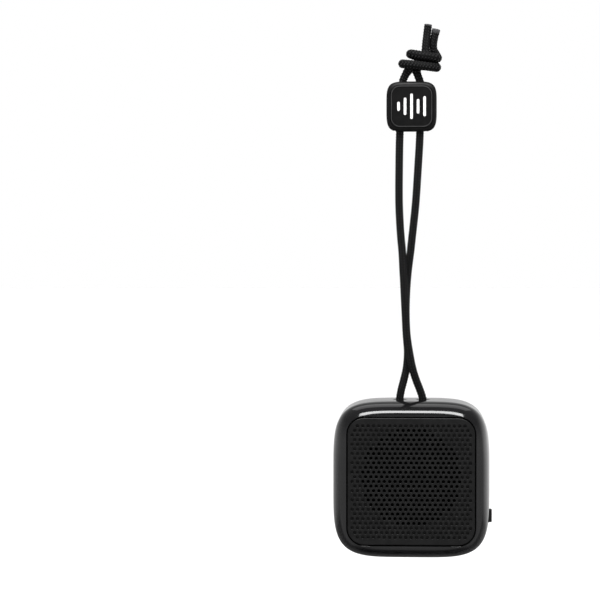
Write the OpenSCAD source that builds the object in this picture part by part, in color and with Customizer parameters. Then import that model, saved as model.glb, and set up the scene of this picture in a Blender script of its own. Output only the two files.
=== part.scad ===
/* [Case] */
// Width of the case, side to side
case_w = 50; // [48:1:62]
// Height of the case
case_h = 50; // [48:1:62]
// Depth of the case, front rim to back rim
case_d = 36; // [35:1:46]
// Wall thickness of the case
wall = 2; // [1.6:0.1:2.4]
// Squareness of the case outline, where 2 is an ellipse and high values are a square
case_power = 4.6; // [3.6:0.2:6]
// Distance from the front rim back to the seam between bezel and housing
seam_back = 9; // [8:0.5:12]

/* [Grille] */
// Side of the square grille panel
grille_side = 40; // [38:0.5:41]
// Corner radius of the grille panel
grille_corner = 5.3; // [4:0.1:7]
// Distance between neighbouring grille holes
hole_pitch = 1.7; // [1.5:0.05:2.2]
// Radius of a grille hole
hole_r = 0.47; // [0.35:0.01:0.6]
// Radius of the round field of open holes in front of the loudspeaker
open_field_r = 15.7; // [13:0.1:16]

/* [Rear panel] */
// Width of the rear panel
panel_w = 35; // [33:0.5:38]
// Height of the rear panel
panel_h = 34.5; // [33:0.5:38]
// Thickness of the rear panel
panel_t = 1.2; // [0.8:0.1:2]

/* [Loudspeaker] */
// Height of the loudspeaker axis above the centre of the case
driver_lift = 1.4; // [0:0.1:3]
// Outer radius of the loudspeaker flange
driver_r = 18; // [17.2:0.1:18.2]
// Radius of the magnet and its plates
magnet_r = 11; // [9.6:0.1:11.4]
// Thickness of the ring magnet
magnet_t = 5; // [3:0.1:6]

/* [Electronics] */
// Width of the battery
battery_w = 25; // [18:0.5:25.4]
// Height of the battery
battery_h = 22.5; // [16:0.5:22.5]
// Thickness of the battery
battery_t = 7; // [4:0.1:7.4]
// Thickness of the circuit boards
board_t = 1; // [0.8:0.1:1.2]

/* [Controls] */
// Radius of the round power button
button_r = 2.9; // [2:0.1:3.4]
// How far the power button travels
button_travel = 0.5; // [0.2:0.05:0.6]
// Length of the cover over the charging socket
cover_l = 11.9; // [11:0.1:12.4]
// Height of the cover over the charging socket
cover_h = 6.6; // [6:0.1:7.4]

/* [Cord and tag] */
// Distance from the hanging point down to the top of the case
cord_drop = 85; // [85:1:85]
// Diameter of the cord
cord_d = 2.5; // [2:0.1:2.6]
// Distance between the two cord holes
cord_gap = 7.5; // [7:0.1:8.5]
// Side of the square tag
tag_side = 16.4; // [15.6:0.1:20]
// Thickness of the tag
tag_t = 6; // [5.6:0.1:8]

/* [Hidden] */
$fn = 48;

// clearances
snug = 0.15;
free_gap = 0.3;
overlap = 0.5;

// the case runs from front_y to back_y, and its centre hangs below the origin
front_y = -case_d / 2;
back_y = case_d / 2;
case_z = -(cord_drop + case_h / 2);
outline_points = 64;
front_roll = 8.5;
front_inset = 4.4;
back_roll = 9;
back_inset = 6.6;
seam_y = front_y + seam_back;

// grille panel and the ledge behind it
grille_t = 1.3;
dimple_depth = 0.5;
grille_proud = 0.2;
ledge_front_y = front_y - grille_proud + grille_t;
ledge_t = 1.7;
ledge_back_y = ledge_front_y + ledge_t;
sound_opening_r = 16;
mesh_t = 0.2;
mesh_r = sound_opening_r + 1.5;

// rear panel, its tape and the floor of its recess
panel_corner = 2.6;
panel_recess = 0.3;
tape_t = 0.2;
recess_floor_y = back_y - panel_recess - panel_t - tape_t;
rear_inner_y = recess_floor_y - wall;

// seal in the seam
tongue_l = 3;
tongue_t = 1.2;
seal_side = 1;

// screws that hold bezel and housing together
post_x = panel_w / 2 - 2.3;
post_z = panel_h / 2 - 2;
post_r = 2.1;
boss_r = 2.2;
post_end_y = 3.8;
screw_r = 1;
screw_l = 15.8;
screw_head_r = 1.75;
screw_head_t = 1.3;
head_seat_y = recess_floor_y - 1.5;

// loudspeaker, front to back
gasket_t = 0.8;
flange_y = ledge_back_y + gasket_t;
flange_t = 1;
surround_land_r = 16;
surround_mid_r = 13.55;
surround_roll_r = 1.35;
surround_t = 0.35;
frame_depth = 8.4;
plate_t = 2.5;
top_plate_y = flange_y + frame_depth;
magnet_y = top_plate_y + plate_t;
yoke_y = magnet_y + magnet_t;
pole_r = 6;
former_r = 6.35;
former_t = 0.15;
coil_t = 0.45;
plate_hole_r = 7.3;
magnet_hole_r = 7.8;
spider_y = flange_y + 5.9;
spider_t = 0.4;
cone_r = 12;
cone_neck_y = flange_y + 3.4;
cone_t = 0.4;
cap_rise = 1.9;

// circuit boards
board_top_z = -12;
board_bottom_z = board_top_z - board_t;
board_front_y = -5;
board_back_y = rear_inner_y - 1;
board_left_x = -(case_w / 2 - 6.5);
board_right_x = case_w / 2 - 3.6;
board_boss_r = 1.8;
board_boss_spots = [[-8, 9], [8, 9], [0, -2.6]];
small_screw_r = 0.7;
small_head_r = 1.4;
small_head_t = 0.8;
small_screw_l = 4;

// charging socket and its opening in the right wall
socket_w = 7.6;
socket_h = 2.8;
socket_d = 5.6;
port_y = -2.2;
port_z = board_top_z + socket_h / 2;
port_w = 8.6;
port_h = 3.6;
side_x = case_w / 2;
inner_side_x = side_x - wall;

// cover over the charging socket, hinged along its rear edge
cover_t = 1;
cover_outer_x = side_x - 0.05;
cover_z = port_z - 0.3;
cover_front_y = port_y - 5.6;
hinge_y = cover_front_y + cover_l + free_gap;
tab_h = 4.3;
tab_l = 1.6;
tab_proud = 0.9;
tab_z = port_z - 1.2;
anchor_l = 2.6;
anchor_t = 0.3;
stem_r = 0.7;

// power button, its switch and the lamp, on a small upright board
button_y = 1;
button_z = 2;
button_proud = 0.1;
key_board_x = side_x - 6.1;
key_board_w = 8;
key_board_low_z = -5;
key_board_high_z = 12.4;
key_boss_r = 1.3;
key_boss_spots = [-3.4, 10.8];
switch_side = 5;
switch_t = 1.5;
plunger_r = 1;
lamp_z = 7.3;
lamp_pipe_r = 0.8;

// battery against the rear wall
battery_pad_t = 1.5;
battery_back_y = rear_inner_y - battery_pad_t;
battery_low_z = -8.5;

// cord inside the case: a half turn round the pin
cord_r = cord_d / 2;
cord_hole_r = cord_r + 0.7;
swing_below_top = 0.6;
loop_gap = 0.8;
pin_z = case_h / 2 - 4.4;
pin_r = cord_gap / 2 - cord_r - 0.2;
rib_t = 1.4;
rib_y = cord_r + 1.5;
rib_low_z = pin_z - pin_r - 1.2;
cord_sides = 8;
wire_sides = 6;

// the cord's two strands, from the case to the knot, crossing once on the way
right_strand = [[3.75, 0, -85.6], [3.6, 0, -84.4], [2.7, 0, -81.7], [1.5, -0.4, -78.6],
                [0.4, -0.9, -75], [-0.6, -1.2, -70], [-1.5, -1.3, -64], [-2, -1.3, -56],
                [-2.4, -1.2, -48], [-2.7, -0.9, -42.5], [-3, -0.3, -37], [-3.5, 0, -31.5],
                [-4, 0, -22], [-4, 0, -10], [-3.8, 0, 1], [-3.2, 0, 12], [-2.8, 0, 18],
                [-1.6, 0, 21], [-1, 0, 23]];
left_strand = [[-3.75, 0, -85.6], [-3.7, 0, -84.4], [-3.2, 0, -81.7], [-2.4, 0.4, -78.6],
               [-1.6, 0.9, -75], [-1.2, 1.2, -70], [-1.6, 1.3, -64], [-1.8, 1.3, -56],
               [-1.5, 1.2, -48], [-1, 0.9, -42.5], [-0.3, 0.3, -37], [0.3, 0, -31.5],
               [1.3, 0, -22], [2.1, 0, -10], [2.7, 0, 1], [2.8, 0, 12], [2.8, 0, 18],
               [1.8, 0, 21], [1.4, 0, 23]];
left_tail = [[4.4, 0, 26.5], [4.5, 0, 29], [4.8, 0, 32.5], [5.1, 0, 36.4]];
right_tail = [[7, 0.5, 26.2], [7.2, 0.5, 29], [7.6, 0.5, 32], [8, 0.5, 34.9]];
knot_centre = [2.9, 24.4];
knot_size = [13, 7.4, 7];
knot_lean = 0.35;
knot_tilt = 0.08;
knot_power = 3.4;
knot_edge = 3;

// wires inside the case
wire_r = 0.45;
wire_gap = 1.3;
speaker_wire = [[-15.1, -8.6, 0.5], [-15.1, -7.6, 0.5], [-15.1, -6.2, -1.6], [-15.1, -4.8, -6.5],
                [-15.1, -3.9, -10], [-15.1, -3.8, -11], [-15.1, -3.8, -12]];
battery_wire = [[-5, 9.2, -8.5], [-5, 9.2, -9.3], [-5, 8.4, -10.3], [-5, 7.2, -10.9], [-5, 6.8, -11.4],
                [-5, 6.8, -12]];

// tag that slides on the cord
tag_z = 9.8;
tag_power = 4.6;
tag_edge = 2.2;
tag_plate_side = tag_side - 3;
tag_plate_t = 0.8;
tag_plate_corner = 3.1;
slot_w = 10.6;
slot_t = cord_d + 0.7;

function arc(a0, a1, steps) = [for (i = [0 : steps]) a0 + (a1 - a0) * i / steps];

// outline of a soft square, with a flat facet in the middle of each side
function soft_square(half_w, half_h, power, count) =
    [for (i = [0 : count - 1])
        let (a = 360 * (i + 0.5) / count)
        [half_w * sign(cos(a)) * pow(abs(cos(a)), 2 / power),
         half_h * sign(sin(a)) * pow(abs(sin(a)), 2 / power)]];

function rounded_square(w, h, r) =
    [for (corner = [0 : 3])
        for (a = arc(90 * corner, 90 * corner + 90, 6))
        let (sx = (corner == 0 || corner == 3) ? 1 : -1, sy = corner < 2 ? 1 : -1)
        [sx * (w / 2 - r) + r * cos(a), sy * (h / 2 - r) + r * sin(a)]];

function unit(v) = v / norm(v);

// one ring of a tube about point i of a path
function ring(path, i, r, sides, side_way) =
    let (last = len(path) - 1,
         t = unit(path[min(i + 1, last)] - path[max(i - 1, 0)]),
         u = unit(cross(side_way, t)),
         v = cross(t, u))
    [for (k = [0 : sides - 1]) path[i] + r * (cos(360 * k / sides) * u + sin(360 * k / sides) * v)];

// how far the case surface has rolled in from its widest outline at depth y
function roll(past, depth, inset) =
    past <= 0 ? 0 : inset * (1 - sqrt(max(0, 1 - pow(past / depth, 2))));
function case_inset(y) =
    y < 0 ? roll(front_y + front_roll - y, front_roll, front_inset)
          : roll(y - (back_y - back_roll), back_roll, back_inset);

// depths of the rings that round both edges of a pillow, back to front
function edge_steps(half_t, edge) =
    [for (a = [90, 68, 46, 23, 0, -23, -46, -68, -90]) if (a != 0)
        sign(a) * (half_t - edge) + edge * sin(a)];

function case_ring(y, shrink) =
    [for (p = soft_square(case_w / 2 - case_inset(y) - shrink, case_h / 2 - case_inset(y) - shrink,
                          case_power, outline_points)) [p[0], y, p[1]]];

// closed skin through a list of rings, each the same number of points
module loft(rings) {
    n = len(rings[0]);
    m = len(rings);
    sides = [for (j = [0 : m - 2]) for (i = [0 : n - 1])
             [j * n + i, (j + 1) * n + i, (j + 1) * n + (i + 1) % n, j * n + (i + 1) % n]];
    polyhedron(points = [for (r = rings) each r],
               faces = concat([[for (i = [0 : n - 1]) i]], sides,
                              [[for (i = [n - 1 : -1 : 0]) (m - 1) * n + i]]),
               convexity = 4);
}

module tube(path, r, sides, side_way = [0, 1, 0])
    loft([for (i = [0 : len(path) - 1]) ring(path, i, r, sides, side_way)]);

// an outline in X and Z, from depth y0 to depth y1
module slab(y0, y1)
    translate([0, y1, 0]) rotate([90, 0, 0]) linear_extrude(y1 - y0) children();

module rod_y(r, y0, y1)
    translate([0, y0, 0]) rotate([-90, 0, 0]) cylinder(r = r, h = y1 - y0);

module rod_x(r, x0, x1)
    translate([x0, 0, 0]) rotate([0, 90, 0]) cylinder(r = r, h = x1 - x0);

// a profile of [radius, depth] points turned about the loudspeaker axis
module turned(profile)
    translate([0, 0, driver_lift]) rotate([-90, 0, 0]) rotate_extrude($fn = 96) polygon(profile);

module ring_y(r_out, r_in, y0, y1)
    turned([[r_in, y0], [r_out, y0], [r_out, y1], [r_in, y1]]);

module block(low, high)
    translate(low) cube(high - low);

module in_case()
    translate([0, 0, case_z]) children();

module at_posts()
    for (sx = [-1, 1])
        for (sz = [-1, 1])
            translate([sx * post_x, 0, sz * post_z]) children();

module at_cord_holes()
    for (s = [-1, 1])
        translate([s * cord_gap / 2, 0, 0]) children();

// ---- case ----

housing_skin_y = [back_y, back_y - 0.15, back_y - 0.6, back_y - 1.4, back_y - 2.6, back_y - 4.2, back_y - 6.4,
                  back_y - back_roll, seam_y];
cavity_y = [rear_inner_y, rear_inner_y - 1.6, rear_inner_y - 3.6, back_y - back_roll, seam_y - overlap];
bezel_skin_y = [seam_y, front_y + 6.4, front_y + 4.4, front_y + 2.8, front_y + 1.6, front_y + 0.8,
                front_y + 0.25, front_y];
bezel_cavity_y = [seam_y + overlap, front_y + front_roll - 1, front_y + 5, ledge_back_y];

module rear_housing() color([0.05, 0.05, 0.055]) in_case() {
    difference() {
        union() {
            difference() {
                loft([for (y = housing_skin_y) case_ring(y, 0)]);
                loft([for (y = cavity_y) case_ring(y, wall)]);
            }
            at_posts() rod_y(boss_r, post_end_y + 0.2, rear_inner_y + overlap);
            for (p = board_boss_spots)
                translate([p[0], p[1], -case_h / 2 + wall / 2])
                    cylinder(r = board_boss_r, h = board_bottom_z + case_h / 2 - wall / 2);
            for (z = key_boss_spots)
                translate([0, button_y, z]) rod_x(key_boss_r, key_board_x + board_t, inner_side_x + overlap);
            for (s = [-1, 1])
                translate([0, s * (rib_y + rib_t / 2), 0])
                    block([-case_w / 14, -rib_t / 2, rib_low_z], [case_w / 14, rib_t / 2, case_h / 2 - wall / 2]);
        }
        slab(recess_floor_y, back_y + 1)
            polygon(rounded_square(panel_w + 2 * snug, panel_h + 2 * snug, panel_corner + snug));
        at_posts() rod_y(screw_r + snug, post_end_y - 1, back_y);
        at_posts() rod_y(screw_head_r + snug, head_seat_y, back_y);
        for (p = board_boss_spots)
            translate([p[0], p[1], board_bottom_z - small_screw_l]) cylinder(r = small_screw_r, h = small_screw_l + 1);
        for (z = key_boss_spots)
            translate([0, button_y, z]) rod_x(small_screw_r, key_board_x, key_board_x + board_t + small_screw_l - 1);
        at_cord_holes() translate([0, 0, case_h / 2 - wall - 1]) cylinder(r = cord_hole_r, h = wall + 2);
        translate([0, 0, pin_z]) rod_y(pin_r, -rib_y - rib_t - 1, rib_y + rib_t + 1);
        case_seal_step();
        port_cuts();
        translate([0, button_y, button_z]) rod_x(button_r + free_gap, inner_side_x - 1, side_x + 1);
        translate([0, button_y, lamp_z]) rod_x(lamp_pipe_r, inner_side_x - 1, side_x + 1);
    }
}

// step inside the housing's rim that holds the seal
module case_seal_step()
    loft([for (y = [seam_y + seal_side, seam_y - 1]) seam_ring(y, wall - seal_side)]);

function seam_ring(y, shrink) =
    [for (p = soft_square(case_w / 2 - shrink, case_h / 2 - shrink, case_power, outline_points))
        [p[0], y, p[1]]];

// openings in the right wall for the charging socket, its cover and the cover's stem
module port_cuts() {
    block([inner_side_x - 1, port_y - port_w / 2, port_z - port_h / 2],
          [side_x + 1, port_y + port_w / 2, port_z + port_h / 2]);
    block([cover_outer_x - cover_t - 0.05, cover_front_y - free_gap, cover_z - cover_h / 2 - free_gap],
          [side_x + 1, hinge_y + anchor_l + 2 * free_gap, cover_z + cover_h / 2 + free_gap]);
    translate([0, hinge_y + free_gap + anchor_l / 2, cover_z]) rod_x(stem_r, inner_side_x - 1, side_x);
}

module front_bezel() color([0.05, 0.05, 0.055]) in_case() {
    difference() {
        union() {
            difference() {
                loft([for (y = bezel_skin_y) case_ring(y, 0)]);
                loft([for (y = bezel_cavity_y) case_ring(y, wall)]);
            }
            difference() {
                union() {
                    loft([for (y = [seam_y + tongue_l, seam_y - overlap]) seam_ring(y, wall + snug)]);
                    loft([for (y = [seam_y, seam_y - 1.2]) seam_ring(y, wall - 0.3)]);
                }
                loft([for (y = [seam_y + tongue_l + 1, seam_y - 2]) seam_ring(y, wall + snug + tongue_t)]);
            }
            difference() {
                at_posts() rod_y(post_r, ledge_back_y - overlap, post_end_y);
                at_posts() rod_y(screw_r, head_seat_y - screw_l - 1, post_end_y + 1);
            }
        }
        slab(front_y - 1, ledge_front_y)
            polygon(rounded_square(grille_side + 2 * snug, grille_side + 2 * snug, grille_corner + snug));
        translate([0, 0, driver_lift]) rod_y(sound_opening_r, front_y - 1, ledge_back_y + 1);
        translate([0, 0, driver_lift]) rod_y(mesh_r + snug, front_y, ledge_front_y + mesh_t);
    }
}

module housing_seal() color([0.2, 0.2, 0.2]) in_case()
    difference() {
        loft([for (y = [seam_y + seal_side - 0.05, seam_y]) seam_ring(y, wall - seal_side + 0.05)]);
        loft([for (y = [seam_y + seal_side + 1, seam_y - 1]) seam_ring(y, wall - 0.02)]);
    }

module screw_y(r, head_r, head_t, length) {
    difference() {
        rod_y(head_r, 0, head_t);
        translate([0, head_t, 0]) cross_slot(head_r);
    }
    rod_y(r, -length, overlap / 2);
}

// cross recess, open towards +Y
module cross_slot(head_r)
    for (a = [0, 90])
        rotate([0, a, 0]) block([-head_r * 0.6, -head_r * 0.35, -head_r * 0.14],
                                [head_r * 0.6, head_r, head_r * 0.14]);

module housing_screws() color([0.7, 0.7, 0.72]) in_case()
    at_posts() translate([0, head_seat_y, 0]) screw_y(screw_r, screw_head_r, screw_head_t, screw_l);

module rear_panel() color([0.22, 0.22, 0.23]) in_case()
    slab(recess_floor_y + tape_t, back_y - panel_recess) polygon(rounded_square(panel_w, panel_h, panel_corner));

module panel_tape() color([0.85, 0.85, 0.8]) in_case()
    block([-(post_x - screw_head_r - 1), recess_floor_y, -(panel_h / 2 - 1)],
          [post_x - screw_head_r - 1, recess_floor_y + tape_t, panel_h / 2 - 1]);

// ---- grille ----

row_pitch = hole_pitch * sqrt(3) / 2;
rows = floor((grille_side / 2 - 1.2) / row_pitch);
columns = floor((grille_side / 2 - 1.2) / hole_pitch);
corner_inset = grille_side / 2 - grille_corner;

function in_panel(x, z) =
    let (dx = max(0, abs(x) - corner_inset), dz = max(0, abs(z) - corner_inset))
    norm([dx, dz]) < grille_corner - 1.1;
function in_field(x, z) = norm([x, z - driver_lift]) < open_field_r;

hole_spots = [for (row = [-rows : rows]) for (column = [-columns - 1 : columns])
              let (x = hole_pitch * (column + (row % 2 == 0 ? 0 : 0.5)), z = row * row_pitch)
              if (in_panel(x, z)) [x, z]];

module punched(spots)
    difference() {
        polygon(rounded_square(grille_side, grille_side, grille_corner));
        for (p = spots)
            translate(p) circle(r = hole_r, $fn = 16);
    }

module grille() color([0.16, 0.16, 0.17]) in_case() {
    front = front_y - grille_proud;
    slab(front, front + dimple_depth) punched(hole_spots);
    slab(front + dimple_depth, front + grille_t)
        punched([for (p = hole_spots) if (in_field(p[0], p[1])) p]);
}

module acoustic_mesh() color([0.12, 0.12, 0.12]) in_case()
    translate([0, 0, driver_lift]) rod_y(mesh_r, ledge_front_y, ledge_front_y + mesh_t);

// ---- loudspeaker ----

module driver_gasket() color([0.15, 0.15, 0.15]) in_case()
    ring_y(driver_r, sound_opening_r + 0.2, ledge_back_y, flange_y);

module driver_frame() color([0.3, 0.3, 0.32]) in_case() {
    seat_r = plate_hole_r + 0.3;
    difference() {
        turned([[surround_land_r - 1.1, flange_y], [driver_r, flange_y], [driver_r, flange_y + flange_t],
                [16.4, flange_y + flange_t], [13.2, top_plate_y - 1], [13.2, top_plate_y],
                [seat_r, top_plate_y], [seat_r, top_plate_y - 1], [10.6, top_plate_y - 1],
                [10.6, spider_y], [12.8, spider_y], [15.2, flange_y + 0.8],
                [surround_land_r - 1.1, flange_y + 0.8]]);
        for (a = [0, 90, 180, 270])
            translate([0, 0, driver_lift]) rotate([0, a + 45, 0])
                block([10, flange_y + 1.8, -4.5], [driver_r, spider_y - 0.9, 4.5]);
    }
}

module driver_terminals() color([0.6, 0.45, 0.25]) in_case()
    block([-15.8, flange_y + 4.8, driver_lift - 2.5], [-14.6, flange_y + 5.8, driver_lift + 2.5]);

module top_plate() color([0.7, 0.7, 0.72]) in_case()
    ring_y(magnet_r, plate_hole_r, top_plate_y, magnet_y);

module magnet() color([0.25, 0.25, 0.26]) in_case()
    ring_y(magnet_r, magnet_hole_r, magnet_y, yoke_y);

module yoke() color([0.7, 0.7, 0.72]) in_case()
    turned([[1.5, top_plate_y], [pole_r, top_plate_y], [pole_r, yoke_y], [magnet_r, yoke_y],
            [magnet_r, yoke_y + plate_t], [1.5, yoke_y + plate_t]]);

module surround() color([0.1, 0.1, 0.1]) in_case() {
    outer = [for (a = arc(13, 180, 10)) [surround_mid_r + surround_roll_r * cos(a),
                                         flange_y - surround_roll_r * sin(a)]];
    inner_r = surround_roll_r - surround_t;
    inner = [for (a = arc(180, 0, 10)) [surround_mid_r + inner_r * cos(a), flange_y - inner_r * sin(a)]];
    turned(concat([[surround_land_r, flange_y], [surround_land_r, flange_y - 0.3]], outer, inner));
}

module spider() color([0.75, 0.6, 0.3]) in_case() {
    inner_r = former_r + former_t + free_gap;
    outer_r = 12.6;
    wave = [for (i = [0 : 24]) [inner_r + (outer_r - 2 - inner_r) * i / 24, 0.25 * sin(i * 45)]];
    front = [for (p = wave) [p[0], spider_y - spider_t + p[1]]];
    back = [for (i = [24 : -1 : 0]) [wave[i][0], spider_y + wave[i][1]]];
    turned(concat(front, [[outer_r, spider_y - spider_t], [outer_r, spider_y]], back));
}

neck_r = former_r + former_t;

module cone() color([0.12, 0.12, 0.13]) in_case()
    turned([[neck_r, cone_neck_y], [cone_r, flange_y], [cone_r, flange_y - cone_t],
            [cone_r - 0.6, flange_y - cone_t], [neck_r, cone_neck_y - cone_t]]);

module dust_cap() color([0.08, 0.08, 0.09]) in_case() {
    base_y = cone_neck_y - cone_t;
    rise = [for (a = arc(0, 90, 8)) [neck_r * cos(a), base_y - cap_rise * sin(a)]];
    fall = [for (a = arc(90, 0, 8)) [(neck_r - 0.3) * cos(a), base_y - (cap_rise - 0.3) * sin(a)]];
    turned(concat(rise, fall));
}

module coil_former() color([0.8, 0.7, 0.4]) in_case()
    ring_y(former_r + former_t, former_r, cone_neck_y - cone_t, magnet_y + 0.6);

module voice_coil() color([0.75, 0.4, 0.2]) in_case()
    ring_y(former_r + former_t + coil_t, former_r + former_t, top_plate_y - 0.2, magnet_y + 0.1);

// ---- electronics ----

module circuit_board() color([0.05, 0.3, 0.15]) in_case()
    difference() {
        block([board_left_x, board_front_y, board_bottom_z], [board_right_x, board_back_y, board_top_z]);
        for (p = board_boss_spots)
            translate([p[0], p[1], board_bottom_z - 1]) cylinder(r = small_screw_r + snug, h = board_t + 2);
        block([14.5, 6.4, board_bottom_z - 1], [board_right_x + 1, board_back_y + 1, board_top_z + 1]);
    }

module key_board() color([0.05, 0.3, 0.15]) in_case()
    difference() {
        block([key_board_x, button_y - key_board_w / 2, key_board_low_z],
              [key_board_x + board_t, button_y + key_board_w / 2, key_board_high_z]);
        for (z = key_boss_spots)
            translate([0, button_y, z]) rod_x(small_screw_r + snug, key_board_x - 1, key_board_x + board_t + 1);
    }

// small screw with its head's underside at z = 0, pointing down
module small_screw() {
    cylinder(r = small_head_r, h = small_head_t);
    translate([0, 0, 0.1 - small_screw_l]) cylinder(r = small_screw_r, h = small_screw_l);
}

module board_screws() color([0.7, 0.7, 0.72]) in_case() {
    for (p = board_boss_spots)
        translate([p[0], p[1], board_top_z]) small_screw();
    for (z = key_boss_spots)
        translate([key_board_x, button_y, z]) rotate([0, -90, 0]) small_screw();
}

module radio_chip() color([0.1, 0.1, 0.1]) in_case()
    block([-5, 2, board_bottom_z - 0.9], [1, 8, board_bottom_z]);

module amplifier_chip() color([0.1, 0.1, 0.1]) in_case()
    block([3.5, 1.5, board_bottom_z - 1.2], [7.5, 5.5, board_bottom_z]);

module board_parts() color([0.55, 0.45, 0.3]) in_case() {
    for (i = [0 : 4])
        block([-12.4 + 2.2 * i, -3.5, board_bottom_z - 0.8], [-11.2 + 2.2 * i, -2.7, board_bottom_z]);
    block([-12.5, 3, board_bottom_z - 2.2], [-8.5, 7, board_bottom_z]);
    block([10, -3, board_bottom_z - 0.7], [13, -1, board_bottom_z]);
}

module usb_socket() color([0.75, 0.75, 0.77]) in_case()
    difference() {
        block([inner_side_x - 0.4 - socket_d, port_y - socket_w / 2, board_top_z],
              [inner_side_x - 0.4, port_y + socket_w / 2, board_top_z + socket_h]);
        difference() {
            block([inner_side_x - socket_d, port_y - socket_w / 2 + 0.35, board_top_z + 0.35],
                  [inner_side_x, port_y + socket_w / 2 - 0.35, board_top_z + socket_h - 0.35]);
            block([inner_side_x - socket_d - 1, port_y - 2.2, port_z - 0.3],
                  [inner_side_x - 1.2, port_y + 2.2, port_z + 0.3]);
        }
    }

module battery() color([0.75, 0.76, 0.78]) in_case()
    block([-battery_w / 2, battery_back_y - battery_t, battery_low_z],
          [battery_w / 2, battery_back_y, battery_low_z + battery_h]);

module battery_pad() color([0.2, 0.2, 0.2]) in_case()
    block([-battery_w / 2 + 2, battery_back_y, battery_low_z + 2],
          [battery_w / 2 - 2, rear_inner_y, battery_low_z + battery_h - 2]);

module wire_pair(path, apart)
    for (s = [-1, 1])
        tube([for (p = path) p + s * apart / 2], wire_r, wire_sides, [1, 0, 0]);

module speaker_wires() color([0.75, 0.1, 0.1]) in_case()
    wire_pair(speaker_wire, [wire_gap, 0, 0]);

module battery_wires() color([0.75, 0.1, 0.1]) in_case()
    wire_pair(battery_wire, [wire_gap, 0, 0]);

module key_wires() color([0.85, 0.85, 0.85]) in_case()
    for (i = [0, 1])
        translate([key_board_x + board_t / 2, button_y + 2 + i * wire_gap, board_top_z])
            cylinder(r = wire_r, h = key_board_low_z - board_top_z);

// ---- controls ----

switch_x = key_board_x + board_t;

module key_switch() color([0.2, 0.2, 0.2]) in_case()
    difference() {
        block([switch_x, button_y - switch_side / 2, button_z - switch_side / 2],
              [switch_x + switch_t, button_y + switch_side / 2, button_z + switch_side / 2]);
        translate([0, button_y, button_z]) rod_x(plunger_r + free_gap, switch_x + 0.1, switch_x + switch_t + 1);
    }

button_back_x = inner_side_x - 0.8;

module switch_plunger() color([0.85, 0.85, 0.8]) in_case()
    translate([0, button_y, button_z]) rod_x(plunger_r, switch_x + 0.2 + button_travel, button_back_x);

module power_button() color([0.12, 0.12, 0.12]) in_case()
    translate([0, button_y, button_z]) {
        rod_x(button_r + 0.8, button_back_x, inner_side_x - 0.15);
        rod_x(button_r, button_back_x + 0.1, side_x + button_proud);
    }

module status_led() color([0.9, 0.9, 0.85]) in_case()
    block([switch_x, button_y - 0.8, lamp_z - 0.8], [switch_x + 0.9, button_y + 0.8, lamp_z + 0.8]);

module light_pipe() color([0.85, 0.9, 0.95]) in_case()
    translate([0, button_y, lamp_z]) {
        rod_x(lamp_pipe_r, inner_side_x - 1.2, side_x - 0.02);
        rod_x(lamp_pipe_r + 0.4, inner_side_x - 1.2, inner_side_x - 0.2);
    }

module port_cover() color([0.1, 0.1, 0.1]) in_case() {
    inner_x = cover_outer_x - cover_t;
    block([inner_x, cover_front_y, cover_z - cover_h / 2],
          [cover_outer_x, hinge_y - free_gap, cover_z + cover_h / 2]);
    block([inner_side_x - 0.1, port_y - port_w / 2 + free_gap, port_z - port_h / 2 + free_gap],
          [inner_x + 0.1, port_y + port_w / 2 - free_gap, port_z + port_h / 2 - free_gap]);
    block([cover_outer_x - 0.1, cover_front_y, tab_z - tab_h / 2],
          [cover_outer_x + tab_proud, cover_front_y + tab_l, tab_z + tab_h / 2]);
}

module cover_anchor() color([0.1, 0.1, 0.1]) in_case() {
    floor_x = cover_outer_x - cover_t - 0.05;
    block([floor_x, hinge_y + free_gap, cover_z - cover_h / 2],
          [floor_x + anchor_t, hinge_y + free_gap + anchor_l, cover_z + cover_h / 2]);
    translate([0, hinge_y + free_gap + anchor_l / 2, cover_z]) rod_x(stem_r, inner_side_x - 0.4, floor_x + 0.1);
}

// ---- cord and tag ----

module cord_pin() color([0.7, 0.7, 0.72]) in_case()
    translate([0, 0, pin_z]) rod_y(pin_r, -rib_y - rib_t - 0.6, rib_y + rib_t + 0.6);

loop_top_z = case_h / 2 - swing_below_top - loop_gap;
loop_path = concat([[-cord_gap / 2, 0, loop_top_z]],
                   [for (a = arc(180, 360, 8)) [cord_gap / 2 * cos(a), 0, pin_z + cord_gap / 2 * sin(a)]],
                   [[cord_gap / 2, 0, loop_top_z]]);

module cord_loop() color([0.25, 0.25, 0.26]) in_case()
    tube(loop_path, cord_r, cord_sides);

module cord_left() color([0.3, 0.3, 0.31])
    tube(left_strand, cord_r, cord_sides);

module cord_right() color([0.3, 0.3, 0.31])
    tube(right_strand, cord_r, cord_sides);

// one outline of the knot's leaning, tilted body
function knot_ring(y) =
    let (inset = roll(abs(y) - (knot_size[1] / 2 - knot_edge), knot_edge, knot_edge * 0.8))
    [for (p = soft_square(knot_size[0] / 2 - inset, knot_size[2] / 2 - inset, knot_power, 32))
        [knot_centre[0] + p[0] + knot_lean * p[1], y, knot_centre[1] + p[1] - knot_tilt * p[0]]];

module cord_knot() color([0.3, 0.3, 0.31])
    loft([for (y = edge_steps(knot_size[1] / 2, knot_edge)) knot_ring(y)]);

module cord_tails() color([0.3, 0.3, 0.31]) {
    tube(left_tail, cord_r, cord_sides);
    tube(right_tail, cord_r, cord_sides);
}

function tag_ring(y) =
    let (past = abs(y) - (tag_t / 2 - tag_edge),
         half = tag_side / 2 - roll(past, tag_edge, tag_edge))
    [for (p = soft_square(half, half, tag_power, 48)) [p[0], y, tag_z + p[1]]];

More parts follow.
